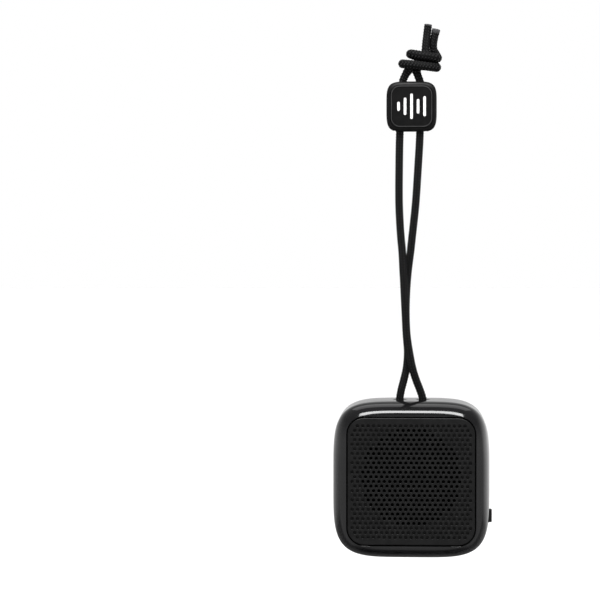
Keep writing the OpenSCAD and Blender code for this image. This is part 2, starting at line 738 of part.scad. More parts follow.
module tag_body() color([0.2, 0.2, 0.21])
    difference() {
        loft([for (y = edge_steps(tag_t / 2, tag_edge)) tag_ring(y)]);
        translate([0, 0, tag_z - tag_side]) linear_extrude(2 * tag_side)
            polygon([for (side = [0, 1]) for (a = arc(180 * side - 90, 180 * side + 90, 12))
                     [(1 - 2 * side) * (slot_w - slot_t) / 2 + slot_t / 2 * cos(a), slot_t / 2 * sin(a)]]);
        translate([0, 0, tag_z]) slab(-tag_t / 2 - 1, -tag_t / 2 + tag_plate_t)
            polygon(rounded_square(tag_plate_side + 2 * snug, tag_plate_side + 2 * snug, tag_plate_corner + snug));
    }

module tag_plate() color([0.25, 0.25, 0.26])
    translate([0, 0, tag_z]) slab(-tag_t / 2, -tag_t / 2 + tag_plate_t)
        polygon(rounded_square(tag_plate_side, tag_plate_side, tag_plate_corner));

rear_housing();
front_bezel();
housing_seal();
housing_screws();
rear_panel();
panel_tape();
grille();
acoustic_mesh();
driver_gasket();
driver_frame();
driver_terminals();
top_plate();
magnet();
yoke();
surround();
spider();
cone();
dust_cap();
coil_former();
voice_coil();
circuit_board();
key_board();
board_screws();
radio_chip();
amplifier_chip();
board_parts();
usb_socket();
battery();
battery_pad();
speaker_wires();
battery_wires();
key_wires();
key_switch();
switch_plunger();
power_button();
status_led();
light_pipe();
port_cover();
cover_anchor();
cord_pin();
cord_loop();
cord_left();
cord_right();
cord_knot();
cord_tails();
tag_body();
tag_plate();
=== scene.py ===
import math

import bmesh
import bpy
import numpy as np
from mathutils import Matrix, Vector, noise


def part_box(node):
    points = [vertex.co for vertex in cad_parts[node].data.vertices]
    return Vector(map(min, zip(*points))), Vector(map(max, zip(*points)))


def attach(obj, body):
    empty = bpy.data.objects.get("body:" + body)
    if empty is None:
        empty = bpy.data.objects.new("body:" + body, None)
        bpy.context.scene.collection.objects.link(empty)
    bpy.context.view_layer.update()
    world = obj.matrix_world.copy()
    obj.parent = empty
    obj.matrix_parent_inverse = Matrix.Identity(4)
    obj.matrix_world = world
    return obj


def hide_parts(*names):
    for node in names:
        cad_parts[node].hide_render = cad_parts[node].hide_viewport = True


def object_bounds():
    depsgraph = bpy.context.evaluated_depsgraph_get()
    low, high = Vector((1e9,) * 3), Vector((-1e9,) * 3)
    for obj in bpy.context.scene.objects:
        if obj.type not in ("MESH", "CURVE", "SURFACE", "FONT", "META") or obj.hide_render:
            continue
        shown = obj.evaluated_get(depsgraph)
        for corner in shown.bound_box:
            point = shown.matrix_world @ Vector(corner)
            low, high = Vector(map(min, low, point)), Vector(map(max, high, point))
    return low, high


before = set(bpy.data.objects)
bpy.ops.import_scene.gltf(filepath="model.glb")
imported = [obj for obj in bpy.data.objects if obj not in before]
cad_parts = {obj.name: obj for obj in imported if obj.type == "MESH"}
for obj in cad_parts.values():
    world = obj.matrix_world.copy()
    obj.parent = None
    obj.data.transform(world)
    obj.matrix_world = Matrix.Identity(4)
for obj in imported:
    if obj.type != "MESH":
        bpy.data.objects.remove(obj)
cadLow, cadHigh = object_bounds()
mm = 0.001


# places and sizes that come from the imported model

def boxCentre(node):
    low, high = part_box(node)
    return (low + high) / 2


def boxSize(node):
    low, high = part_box(node)
    return high - low


caseLow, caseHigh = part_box("rear_housing")
caseCentre = Vector((0, 0, (caseLow.z + caseHigh.z) / 2))
caseHalf = (caseHigh.x - caseLow.x) / 2
backY = caseHigh.y
seamY = caseLow.y
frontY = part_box("front_bezel")[0].y


# camera, at the height of the middle of the whole object

cameraLook = {
    "distance": 700 * mm,
    "height": -41.3 * mm,
    "around": 0.1,  # degrees towards the side with the controls
    "aimOff": 2.96,  # degrees, so that the object hangs right of the middle
    "pitch": 0.94,
    "lens": 129.3,
}


def addCamera(look):
    around = math.radians(look["around"])
    place = (look["distance"] * math.sin(around), -look["distance"] * math.cos(around), look["height"])
    turn = (math.radians(90 - look["pitch"]), 0, around + math.radians(look["aimOff"]))
    bpy.ops.object.camera_add(location=place, rotation=turn)
    camera = bpy.context.object
    camera.data.lens = look["lens"]
    camera.data.clip_start = 10 * mm
    camera.data.clip_end = 20
    bpy.context.scene.camera = camera


addCamera(cameraLook)
print("camera placed")


# helpers for modelling

def pickNothing():
    if bpy.context.mode != "OBJECT":
        bpy.ops.object.mode_set(mode="OBJECT")
    bpy.ops.object.select_all(action="DESELECT")


def pickOnly(piece):
    pickNothing()
    piece.select_set(True)
    bpy.context.view_layer.objects.active = piece


def editPiece(piece):
    pickOnly(piece)
    bpy.ops.object.mode_set(mode="EDIT")


def namePiece(name):
    piece = bpy.context.object
    piece.name = name
    piece.data.name = name
    return piece


def settle(piece):
    # the object goes to the origin, unturned, with its place in its mesh
    pickOnly(piece)
    bpy.ops.object.transform_apply(location=True, rotation=True, scale=True)


def tidyMesh(piece, sharpest=35, weld=0.002 * mm):
    editPiece(piece)
    bpy.ops.mesh.select_all(action="SELECT")
    bpy.ops.mesh.remove_doubles(threshold=weld)
    bpy.ops.mesh.normals_make_consistent(inside=False)
    bpy.ops.object.mode_set(mode="OBJECT")
    bpy.ops.object.shade_smooth_by_angle(angle=math.radians(sharpest))


def selectFaces(test):
    # in edit mode: selects the faces whose centre and normal pass the test
    bpy.ops.mesh.select_mode(type="FACE")
    bpy.ops.mesh.select_all(action="DESELECT")
    mesh = bmesh.from_edit_mesh(bpy.context.edit_object.data)
    for face in mesh.faces:
        if test(face.calc_center_median(), face.normal):
            face.select = True
    mesh.select_flush(True)
    bmesh.update_edit_mesh(bpy.context.edit_object.data)


def applyModifier(piece, kind, **settings):
    pickOnly(piece)
    modifier = piece.modifiers.new(kind.lower(), kind)
    for key, value in settings.items():
        setattr(modifier, key, value)
    bpy.ops.object.modifier_apply(modifier=modifier.name)


def cutAway(piece, cutters):
    for cutter in cutters:
        applyModifier(piece, "BOOLEAN", operation="DIFFERENCE", solver="EXACT", object=cutter)
        bpy.data.objects.remove(cutter)


def addTo(piece, parts):
    for part in parts:
        applyModifier(piece, "BOOLEAN", operation="UNION", solver="EXACT", object=part)
        bpy.data.objects.remove(part)


def addBlock(name, centre, size):
    pickNothing()
    bpy.ops.mesh.primitive_cube_add(size=1, location=centre)
    piece = namePiece(name)
    piece.scale = size
    settle(piece)
    return piece


def roundAlong(piece, axis, width, segments):
    # rounds a box's edges that run along one axis
    editPiece(piece)
    bpy.ops.mesh.select_all(action="DESELECT")
    mesh = bmesh.from_edit_mesh(piece.data)
    for edge in mesh.edges:
        across = edge.verts[0].co - edge.verts[1].co
        edge.select = abs(across[axis]) > 0.9 * across.length
    bmesh.update_edit_mesh(piece.data)
    bpy.ops.mesh.bevel(offset=width, segments=segments, affect="EDGES")
    bpy.ops.object.mode_set(mode="OBJECT")


def addRod(name, radius, length, centre, turn=(0, 0, 0), sides=48):
    pickNothing()
    bpy.ops.mesh.primitive_cylinder_add(vertices=sides, radius=radius, depth=length,
                                        location=centre, rotation=turn)
    piece = namePiece(name)
    settle(piece)
    return piece


def flareEnd(piece, way, back, length, grow, centre):
    # moves the end face of a rod back, then draws it out again, wider
    way = Vector(way)
    editPiece(piece)
    selectFaces(lambda middle, normal: normal.dot(way) > 0.9)
    bpy.ops.transform.translate(value=-back * way)
    bpy.ops.mesh.extrude_region_move(TRANSFORM_OT_translate={"value": length * way})
    bpy.ops.transform.resize(value=[1 if part else grow for part in way], center_override=centre)
    bpy.ops.object.mode_set(mode="OBJECT")


# outlines in X and Z, as the distance from the middle at each angle

def softSquare(half, power):
    def reach(turn):
        across, up = abs(math.cos(turn)) / half, abs(math.sin(turn)) / half
        return (across ** power + up ** power) ** (-1 / power)
    return reach


def roundedSquare(half, corner):
    def reach(turn):
        across, up = abs(math.cos(turn)), abs(math.sin(turn))
        far = half / max(across, up)
        middle = half - corner
        if far * min(across, up) > middle:
            along = (across + up) * middle
            far = along + math.sqrt(max(0, along ** 2 - 2 * middle ** 2 + corner ** 2))
        return far
    return reach


def roundHole(radius, lift=0):
    # a circle whose own middle is lift above the middle of the outline
    def reach(turn):
        up = lift * math.sin(turn)
        return up + math.sqrt(radius ** 2 - (lift * math.cos(turn)) ** 2)
    return reach


def placeLoop(centre, depth, reach):
    # in edit mode: lays the selected loop on the outline, at one depth or at each point's own depth
    mesh = bmesh.from_edit_mesh(bpy.context.edit_object.data)
    for vert in mesh.verts:
        if vert.select:
            turn = math.atan2(vert.co.z - centre.z, vert.co.x - centre.x)
            far = reach(turn)
            y = depth(turn, far) if callable(depth) else depth
            vert.co = (centre.x + far * math.cos(turn), y, centre.z + far * math.sin(turn))
    bmesh.update_edit_mesh(bpy.context.edit_object.data)


def loopPiece(name, centre, loops, count=192, ring=False):
    # extrudes a disc from loop to loop, each a depth and an outline; a ring's last loop lies on its first
    pickNothing()
    bpy.ops.mesh.primitive_circle_add(
        vertices=count, radius=10 * mm, fill_type="NOTHING" if ring else "NGON",
        location=(centre.x, 0, centre.z), rotation=(math.pi / 2, 0, 0))
    piece = namePiece(name)
    settle(piece)
    editPiece(piece)
    bpy.ops.mesh.select_all(action="SELECT")
    placeLoop(centre, *loops[0])
    for depth, reach in loops[1:]:
        bpy.ops.mesh.extrude_region_move()
        placeLoop(centre, depth, reach)
    tidyMesh(piece)
    return piece


def roll(past, depth, inset):
    # how far a quarter-ellipse edge has come in, this far past where it starts
    return inset * (1 - math.sqrt(max(0, 1 - min(past / depth, 1) ** 2)))


print("helpers ready")


# cord: one braided cord, its two strands through the case, the tag and the knot

cordLook = {
    "radius": 1.25 * mm,
    "knotSwell": 1.13,  # the cord is pressed wide where it is knotted
    "knotLow": 21.2 * mm,
    "knotHigh": 27.6 * mm,
    "bumpsRound": 8,
    "bumpLength": 0.46 * mm,
    "bumpHeight": 0.16 * mm,
    "ribLength": 0.92 * mm,  # slanting rows where the yarns cross
    "ribSlant": 2,
    "ribDepth": 0.45,
    # how far the braid's colour is darkened between the slanting rows: painted shade
    "ribShade": 0.85,
    "sides": 56,
    "ringGap": 0.115 * mm,
    "closing": [(0, 0.96), (0.08 * mm, 0.82), (0.14 * mm, 0.5)],  # push outwards, girth left
    "tipPush": 0.16 * mm,
    "frayLength": 2.2 * mm,
    "fraySpread": 0.1,
    "frayLumps": 0.3,
    "singeLength": 0.5 * mm,
    "frayedSinge": 1.6 * mm,
    "pathPoints": 120,
    "rightLength": 0.159,
    "leftLength": 0.147,
}
rightStrandRoute = [
    (3.75, 0, -85.6), (3.6, 0, -84.4), (2.7, 0, -81.7), (1.5, -0.4, -78.6), (0.4, -0.9, -75),
    (-0.6, -1.2, -70), (-1.5, -1.3, -64), (-2, -1.3, -56), (-2.4, -1.2, -48), (-2.7, -0.9, -42.5),
    (-3, -0.3, -37), (-3.5, 0, -31.5), (-4, 0, -22), (-4, 0, -10), (-3.8, 0, 1), (-3.2, 0, 12),
    (-2.9, 0, 17.8), (-2, 0, 20.1), (-0.9, -0.1, 21.8), (0.4, -0.3, 23), (2, -0.3, 23.9),
    (4.8, 0.2, 23.9),
    (6.1, 1.6, 23.4), (4.9, 2.7, 23.2), (2, 2.9, 23.4), (-1, 2.5, 23.7), (-2.8, 0.8, 23.8),
    (-2.5, -1.4, 23.6), (-0.2, -2.8, 23.3), (3, -3, 22.9), (6, -2.6, 22.5), (7.9, -1.1, 22.4),
    (8, 0.8, 22.8), (6.9, 1.3, 24.1), (5.5, 0.3, 25.4), (4.7, -0.6, 26.8), (4.5, -0.7, 28.4),
    (4.65, -0.4, 30.5), (4.95, 0, 33), (5.35, 0, 36.4)]
leftStrandRoute = [
    (-3.75, 0, -85.6), (-3.7, 0, -84.4), (-3.2, 0, -81.7), (-2.4, 0.4, -78.6), (-1.6, 0.9, -75),
    (-1.2, 1.2, -70), (-1.6, 1.3, -64), (-1.8, 1.3, -56), (-1.5, 1.2, -48), (-1, 0.9, -42.5),
    (-0.3, 0.3, -37), (0.3, 0, -31.5), (1.3, 0, -22), (2.1, 0, -10), (2.7, 0, 1), (2.8, 0, 12),
    (2.8, 0, 17.6), (2, 0.2, 20), (1.6, 0.7, 21.6), (2, 1, 23), (2.5, 0.9, 24.6), (4.2, 0.3, 25.9),
    (5.9, 0.6, 26.1), (6.4, 1.9, 25.9), (4.9, 2.8, 26), (2.4, 2.8, 26.3), (0.4, 1.9, 26.7),
    (-0.4, 0.1, 26.9), (0.4, -1.9, 26.7), (2.6, -2.8, 26.3), (5.4, -2.7, 25.9), (7.6, -1.8, 25.5),
    (8.4, -0.1, 25.5), (8, 1.1, 26.5), (7.2, 0.9, 28), (7, 0.6, 29.8), (7.3, 0.5, 32), (7.9, 0.5, 34.9)]
loopRoute = [(-3.75, 0, -86.4)] + [
    (3.75 * math.cos(math.radians(turn)), 0, -89.4 + 3.75 * math.sin(math.radians(turn)))
    for turn in range(180, 361, 15)] + [(3.75, 0, -86.4)]


def smoothRoute(points, gap):
    # a curve through the points, with its own points a set gap apart
    path = np.array(points, float) * mm
    path = np.vstack([2 * path[0] - path[1], path, 2 * path[-1] - path[-2]])
    fine = []
    for a, b, c, d in zip(path, path[1:], path[2:], path[3:]):
        knots = np.cumsum([0] + [math.sqrt(np.linalg.norm(q - p)) for p, q in ((a, b), (b, c), (c, d))])
        for t in np.linspace(knots[1], knots[2], 24, endpoint=False):
            low = [((k1 - t) * p + (t - k0) * q) / (k1 - k0)
                   for p, q, k0, k1 in zip((a, b, c), (b, c, d), knots, knots[1:])]
            mid = [((k1 - t) * p + (t - k0) * q) / (k1 - k0)
                   for p, q, k0, k1 in zip(low, low[1:], knots, knots[2:])]
            fine.append(((knots[2] - t) * mid[0] + (t - knots[1]) * mid[1]) / (knots[2] - knots[1]))
    fine = np.array(fine + [path[-2]])
    along = np.concatenate([[0], np.cumsum(np.linalg.norm(np.diff(fine, axis=0), axis=1))])
    steps = np.linspace(0, along[-1], round(along[-1] / gap) + 1)
    return np.stack([np.interp(steps, along, fine[:, axis]) for axis in range(3)], 1), steps


def cordRadius(look, turns, s, inKnot, toEnd, frayed):
    # how far out the braid stands at each point of one ring
    radius = look["radius"] * (1 + (look["knotSwell"] - 1) * inKnot)
    steep = math.pi * s / look["bumpLength"] / 2
    slant = look["bumpsRound"] / 2 * turns
    bumps = np.cos(slant + steep) * np.cos(slant - steep)
    rows = 0.5 + 0.5 * np.cos(2 * math.pi * s / look["ribLength"] + look["ribSlant"] * turns)
    proud = np.abs(bumps) * (1 - look["ribDepth"] + look["ribDepth"] * rows)
    grown = radius - look["bumpHeight"] / 2 + look["bumpHeight"] * proud
    if frayed and toEnd < look["frayLength"]:  # melted end, spread and lumpy
        opened = 1 - toEnd / look["frayLength"]
        lumps = [noise.noise(Vector((2.1 * math.cos(t), 2.1 * math.sin(t), s * 900))) for t in turns]
        grown = grown * (1 + opened * (look["fraySpread"] + look["frayLumps"] * np.array(lumps)))
    return grown


def tubeMesh(name, rings, tips, stations, girth):
    # closes a stack of rings into a tube, with a pattern that runs round it and along it
    sides, last = len(rings[0]), len(rings) - 1
    faces, patterns = [], []
    for row in range(last):
        here, above = row * sides, (row + 1) * sides
        low, high = stations[row] / girth, stations[row + 1] / girth
        for k in range(sides):
            far = (k + 1) % sides
            faces.append((here + k, here + far, above + far, above + k))
            patterns += [k / sides, low, (k + 1) / sides, low, (k + 1) / sides, high, k / sides, high]
    for k in range(sides):
        far = (k + 1) % sides
        faces.append((far, k, (last + 1) * sides))
        patterns += [0.5, 0] * 3
        faces.append((last * sides + k, last * sides + far, (last + 1) * sides + 1))
        patterns += [0.5, stations[-1] / girth] * 3
    mesh = bpy.data.meshes.new(name)
    mesh.from_pydata(np.concatenate([*rings, tips]).tolist(), [], faces)
    mesh.uv_layers.new(name="UVMap").data.foreach_set("uv", patterns)
    return mesh


def braidedCord(name, route, frayed=False):
    look = cordLook
    centres, along = smoothRoute(route, look["ringGap"])
    ahead = np.gradient(centres, axis=0)
    ahead /= np.linalg.norm(ahead, axis=1)[:, None]
    out = np.cross(ahead[0], (0, 1, 0))
    turns = np.arange(look["sides"]) * 2 * math.pi / look["sides"]
    knotMid = (look["knotLow"] + look["knotHigh"]) / 2
    knotHalf = (look["knotHigh"] - look["knotLow"]) / 2
    rings = []
    for centre, way, s in zip(centres, ahead, along):
        out = out - way * np.dot(out, way)  # carries the ring's first direction along without a twist
        out /= np.linalg.norm(out)
        side = np.cross(way, out)
        inKnot = max(0, 1 - max(0, abs(centre[2] - knotMid) - knotHalf) / (1 * mm))
        grown = cordRadius(look, turns, s, inKnot, along[-1] - s, frayed)
        outward = np.cos(turns)[:, None] * out + np.sin(turns)[:, None] * side
        rings.append(centre + grown[:, None] * outward)
    capsFirst, capsLast = [
        [centres[end] + way * push + (rings[end] - centres[end]) * shrink for push, shrink in look["closing"]]
        for end, way in ((0, -ahead[0]), (-1, ahead[-1]))]
    stations = [along[0]] * 3 + list(along) + [along[-1]] * 3
    tips = [centres[0] - ahead[0] * look["tipPush"], centres[-1] + ahead[-1] * look["tipPush"]]
    mesh = tubeMesh(name, capsFirst[::-1] + rings + capsLast, tips, stations, 2 * math.pi * look["radius"])
    singe = mesh.attributes.new("singe", "FLOAT", "POINT")
    toTip = np.repeat(stations[-1] - np.array(stations), look["sides"])
    burnt = np.clip(1 - toTip / look["frayedSinge" if frayed else "singeLength"], 0, 1)
    singe.data.foreach_set("value", np.concatenate([burnt, [0, 1]]).astype(np.float32))
    piece = bpy.data.objects.new(name, mesh)
    bpy.context.scene.collection.objects.link(piece)
    tidyMesh(piece, sharpest=60, weld=0.0005 * mm)
    even = np.linspace(0, len(centres) - 1, look["pathPoints"]).astype(int)
    return piece, centres[even].tolist()


rightStrand, rightPath = braidedCord("rightStrand", rightStrandRoute)
leftStrand, leftPath = braidedCord("leftStrand", leftStrandRoute, frayed=True)
innerLoop = braidedCord("innerLoop", loopRoute)[0]
print("cord made, strands", len(rightStrand.data.polygons), len(leftStrand.data.polygons))


# tag: a soft block that slides on the cord, with a printed plate let into its front

tagLook = {
    "power": 4.6,
    "frontEdge": 1.5 * mm,
    "backEdge": 2.3 * mm,
    "plateHalf": 6.85 * mm,
    "plateCorner": 3.1 * mm,
    "lineWide": 0.26 * mm,  # paler line round the plate
    "plateDepth": 0.8 * mm,
    "plateGap": 0.15 * mm,
    "slotWide": 10.6 * mm,
    "slotThick": 3.2 * mm,
    "slotShift": 0.4 * mm,
    "faceDeep": 0.12 * mm,  # how far the printed face lies behind the plate's rim
}
tagCentre = boxCentre("tag_body")
tagHalf = boxSize("tag_body").x / 2 + 0.12 * mm
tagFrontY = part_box("tag_body")[0].y
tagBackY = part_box("tag_body")[1].y


def edgeLoops(fromY, toY, half, edge, power, steps=10):
    # rounds the edge of a soft square between its flat face at fromY and its full width towards toY
    sign = 1 if toY > fromY else -1
    loops = []
    for k in range(steps + 1):
        turn = math.pi / 2 * k / steps
        loops.append((fromY + sign * edge * (1 - math.cos(turn)),
                      softSquare(half - edge * (1 - math.sin(turn)), power)))
    return loops


def makeTagBody(look):
    mouth = roundedSquare(look["plateHalf"] + look["plateGap"], look["plateCorner"] + look["plateGap"])
    floorY = tagFrontY + look["plateDepth"]
    back = edgeLoops(tagBackY, tagFrontY, tagHalf, look["backEdge"], look["power"])
    front = edgeLoops(tagFrontY, tagBackY, tagHalf, look["frontEdge"], look["power"])[::-1]
    keep = [loop for loop in front if loop[1](math.pi / 4) > mouth(math.pi / 4) + 0.1 * mm]
    keep = [loop for loop in keep if loop[1](0) > mouth(0) + 0.1 * mm]
    rimY = keep[-1][0] - 0.12 * mm
    loops = [(tagBackY, softSquare(tagHalf / 3, 3)), *back, *keep, (rimY, mouth), (floorY, mouth),
             (floorY, roundedSquare(3 * mm, 1 * mm))]
    body = loopPiece("tagBody", tagCentre, loops, count=160)
    slot = addBlock("slotCutter", (tagCentre.x - look["slotShift"], 0, tagCentre.z),
                    (look["slotWide"], look["slotThick"], 3 * tagHalf))
    roundAlong(slot, 2, look["slotThick"] * 0.499, 10)
    cutAway(body, [slot])
    tidyMesh(body, sharpest=32)
    return body


def makeTagPlate(look):
    half, corner, y = look["plateHalf"], look["plateCorner"], tagFrontY
    chamfer, line = 0.22 * mm, look["lineWide"]
    inner = half - chamfer - line - 0.1 * mm
    loops = [
        (y + look["plateDepth"] - 0.02 * mm, roundedSquare(half, corner)),
        (y + chamfer, roundedSquare(half, corner)),
        (y + chamfer * 0.3, roundedSquare(half - chamfer * 0.3, corner - chamfer * 0.3)),
        (y, roundedSquare(half - chamfer, corner - chamfer)),
        (y, roundedSquare(half - chamfer - line, corner - chamfer - line)),
        (y + look["faceDeep"], roundedSquare(inner, corner - half + inner)),
    ]
    return loopPiece("tagPlate", tagCentre, loops, count=160)


# a plain sound-level sign, five bars with round ends
printLook = {
    "bars": [2.9 * mm, 5.6 * mm, 8.2 * mm, 4.7 * mm, 6.5 * mm],
    "wide": 0.86 * mm,
    "pitch": 2.1 * mm,
    "thick": 0.05 * mm,
}


def makeTagPrint(look):
    y = tagFrontY + tagLook["faceDeep"] - look["thick"] / 2
    bars = []
    for k, tall in enumerate(look["bars"]):
        across = (k - (len(look["bars"]) - 1) / 2) * look["pitch"]
        bar = addBlock("bar" + str(k), (tagCentre.x + across, y, tagCentre.z),
                       (look["wide"], look["thick"], tall))
        roundAlong(bar, 1, look["wide"] * 0.499, 8)
        bars.append(bar)
    pickNothing()
    for bar in bars:
        bar.select_set(True)
    bpy.context.view_layer.objects.active = bars[0]
    bpy.ops.object.join()
    sign = namePiece("tagPrint")
    tidyMesh(sign)
    return sign


tagBody = makeTagBody(tagLook)
tagPlate = makeTagPlate(tagLook)
tagPrint = makeTagPrint(printLook)
print("tag made", len(tagBody.data.polygons))


# case: a smooth bezel and housing, each one wall folded round on itself

caseLook = {
    "power": 4.6,
    "frontRoll": 8.5 * mm,
    "frontInset": 4.4 * mm,
    "backRoll": 9 * mm,
    "backInset": 6.6 * mm,
    "wall": 2 * mm,
    "rollSteps": 16,
    "seamChamfer": 0.05 * mm,
    "tongueLength": 3 * mm,
    "tongueThick": 1.2 * mm,
    "tongueGap": 0.15 * mm,
    "sealSide": 1 * mm,
}


def edgeSizes(front):
    # a half's edge: how deep and how far in it rolls, its face, and which way is inward
    if front:
        return caseLook["frontRoll"], caseLook["frontInset"], frontY, 1
    return caseLook["backRoll"], caseLook["backInset"], backY, -1


def caseInset(y):
    rollDeep, inset, faceY, inward = edgeSizes(y < seamY)
    return roll(max(0, rollDeep - inward * (y - faceY)), rollDeep, inset)


def caseOutline(y, shrink=0.0):
    return softSquare(caseHalf - caseInset(y) - shrink, caseLook["power"])


def onCase(front):
    # the depth of the case's rounded edge where an outline reaches this far
    rollDeep, inset, faceY, inward = edgeSizes(front)

    def depth(turn, far):
        into = caseHalf - far / softSquare(1, caseLook["power"])(turn)
        if into >= inset:
            return faceY
        past = rollDeep * math.sqrt(max(0, 1 - (1 - max(into, 0) / inset) ** 2))
        return faceY + inward * (rollDeep - past)
    return depth


def rollLoops(front, mouth, margin=0.12 * mm):
    # the rounded edge's loops, widest first, pushed out where the opening's corners need room
    rollDeep, inset, faceY, inward = edgeSizes(front)
    steps = caseLook["rollSteps"]
    loops = []
    for k in range(steps + 1):
        turn = math.pi / 2 * k / steps
        plain = caseOutline(faceY + inward * rollDeep * (1 - math.sin(turn)))
        room = margin * (steps - k + 1)

        def reach(a, plain=plain, room=room):
            return max(plain(a), mouth(a) + room)
        loops.append((onCase(front), reach))
    return loops


def sideRod(y, z, radius, fromX, toX, flare=0.0, sides=48):
    # a round cutter along X that widens over its last bit, so that the hole's rim is softened
    piece = addRod("rod", radius, toX - fromX, ((fromX + toX) / 2, y, z), (0, math.pi / 2, 0), sides)
    if flare:
        flareEnd(piece, (1, 0, 0), toX - caseHalf + flare, 2 * flare, (radius + 2 * flare) / radius,
                 (caseHalf + flare, y, z))
    return piece


def roundedBlock(low, high, corner, axis):
    low, high = Vector(low), Vector(high)
    piece = addBlock("block", (low + high) / 2, high - low)
    roundAlong(piece, axis, corner, 6)
    return piece


grilleLow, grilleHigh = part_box("grille")
grilleHalf = (grilleHigh.x - grilleLow.x) / 2 + 0.15 * mm
bezelLook = {
    "gap": 0.36 * mm,  # dark line round the grille
    "corner": 5.3 * mm,
    "mouthChamfer": 0.11 * mm,
    "ledgeThick": 1.7 * mm,
    "soundHole": 16 * mm,
    "meshSeat": 17.65 * mm,
    "soundLift": 1.4 * mm,
}


def makeFrontBezel(look):
    half = grilleHalf + look["gap"]
    corner = look["corner"] + look["gap"]
    soften = look["mouthChamfer"]
    mouthWide = roundedSquare(half + soften, corner + soften)
    mouth = roundedSquare(half, corner)
    ledgeY = grilleHigh.y
    ledgeBackY = ledgeY + look["ledgeThick"]
    seatY = ledgeY + boxSize("acoustic_mesh").y
    seat = roundHole(look["meshSeat"], look["soundLift"])
    hole = roundHole(look["soundHole"], look["soundLift"])
    wall, tongue = caseLook["wall"], caseLook["tongueThick"]
    gap, soft = caseLook["tongueGap"], caseLook["seamChamfer"]
    rootY, tongueY = seamY - 2.4 * mm, seamY + caseLook["tongueLength"]
    midY = frontY + 5 * mm
    tongueInside = caseOutline(seamY, wall + gap + tongue)
    onFace = onCase(front=True)
    loops = [(seamY, caseOutline(seamY - soft, soft)), (seamY - soft, caseOutline(seamY))]
    loops += rollLoops(True, mouthWide)
    loops += [
        (onFace, mouthWide), (lambda a, far: onFace(a, far) + soften, mouth), (ledgeY, mouth),
        (ledgeY, seat), (seatY, seat), (seatY, hole), (ledgeBackY, hole),
        (ledgeBackY, caseOutline(ledgeBackY, wall)), (midY, caseOutline(midY, wall)),
        (rootY, caseOutline(seamY, wall)), (rootY, tongueInside), (tongueY, tongueInside),
        (tongueY, caseOutline(seamY, wall + gap)),
        (seamY, caseOutline(seamY, wall + gap)), (seamY, caseOutline(seamY - soft, soft))]
    return loopPiece("frontBezel", caseCentre, loops, ring=True)


panelLook = {
    "half": 17.15 * mm,  # before its sides bulge
    "corner": 2.2 * mm,
    "bulge": 0.02,
    "gap": 0.16 * mm,
    "edge": 0.25 * mm,
}


def panelOutline(grow):
    plain = roundedSquare(panelLook["half"] + grow, panelLook["corner"] + grow)
    return lambda turn: plain(turn) * (1 + panelLook["bulge"] * math.cos(2 * turn) ** 2)


def makeRearHousing():
    look = caseLook
    mouth, mouthWide = panelOutline(panelLook["gap"]), panelOutline(panelLook["gap"] + 0.18 * mm)
    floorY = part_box("panel_tape")[0].y
    innerY = floorY - look["wall"]
    soft, wall, seal = look["seamChamfer"], look["wall"], look["sealSide"]
    onFace = onCase(front=False)
    loops = [(floorY, roundedSquare(8 * mm, 2 * mm)), (floorY, mouth),
             (lambda a, far: onFace(a, far) - 0.18 * mm, mouth), (onFace, mouthWide)]
    loops += rollLoops(False, mouthWide)[::-1]
    straight = [backY - look["backRoll"] - 3 * mm * k for k in range(1, 6)]
    loops += [(y, caseOutline(y)) for y in straight if y > seamY + 1.5 * mm]
    loops += [
        (seamY + soft, caseOutline(seamY)), (seamY, caseOutline(seamY, soft)),
        (seamY, caseOutline(seamY, wall - seal)), (seamY + seal, caseOutline(seamY, wall - seal)),
        (seamY + seal, caseOutline(seamY, wall)), (backY - look["backRoll"], caseOutline(0, wall)),
        (innerY - 3.6 * mm, caseOutline(innerY - 3.6 * mm, wall)),
        (innerY - 1.6 * mm, caseOutline(innerY - 1.6 * mm, wall)),
        (innerY, caseOutline(innerY, wall)), (innerY, roundedSquare(8 * mm, 2 * mm))]
    housing = loopPiece("rearHousing", caseCentre, loops)
    housing.data.validate()
    return housing


openingLook = {
    "buttonRadius": 3.15 * mm,
    "pipeRadius": 0.85 * mm,
    "coverRoom": 0.3 * mm,
    "coverCorner": 1.3 * mm,
    "coverDeep": 1.95 * mm,  # from the tab's outer end to the recess's floor
    "plugHalfWide": 4.3 * mm,
    "plugHalfTall": 1.8 * mm,
    "stemRadius": 0.7 * mm,
    "cordRadius": 1.95 * mm,
    "cordFlare": 1.25,
}


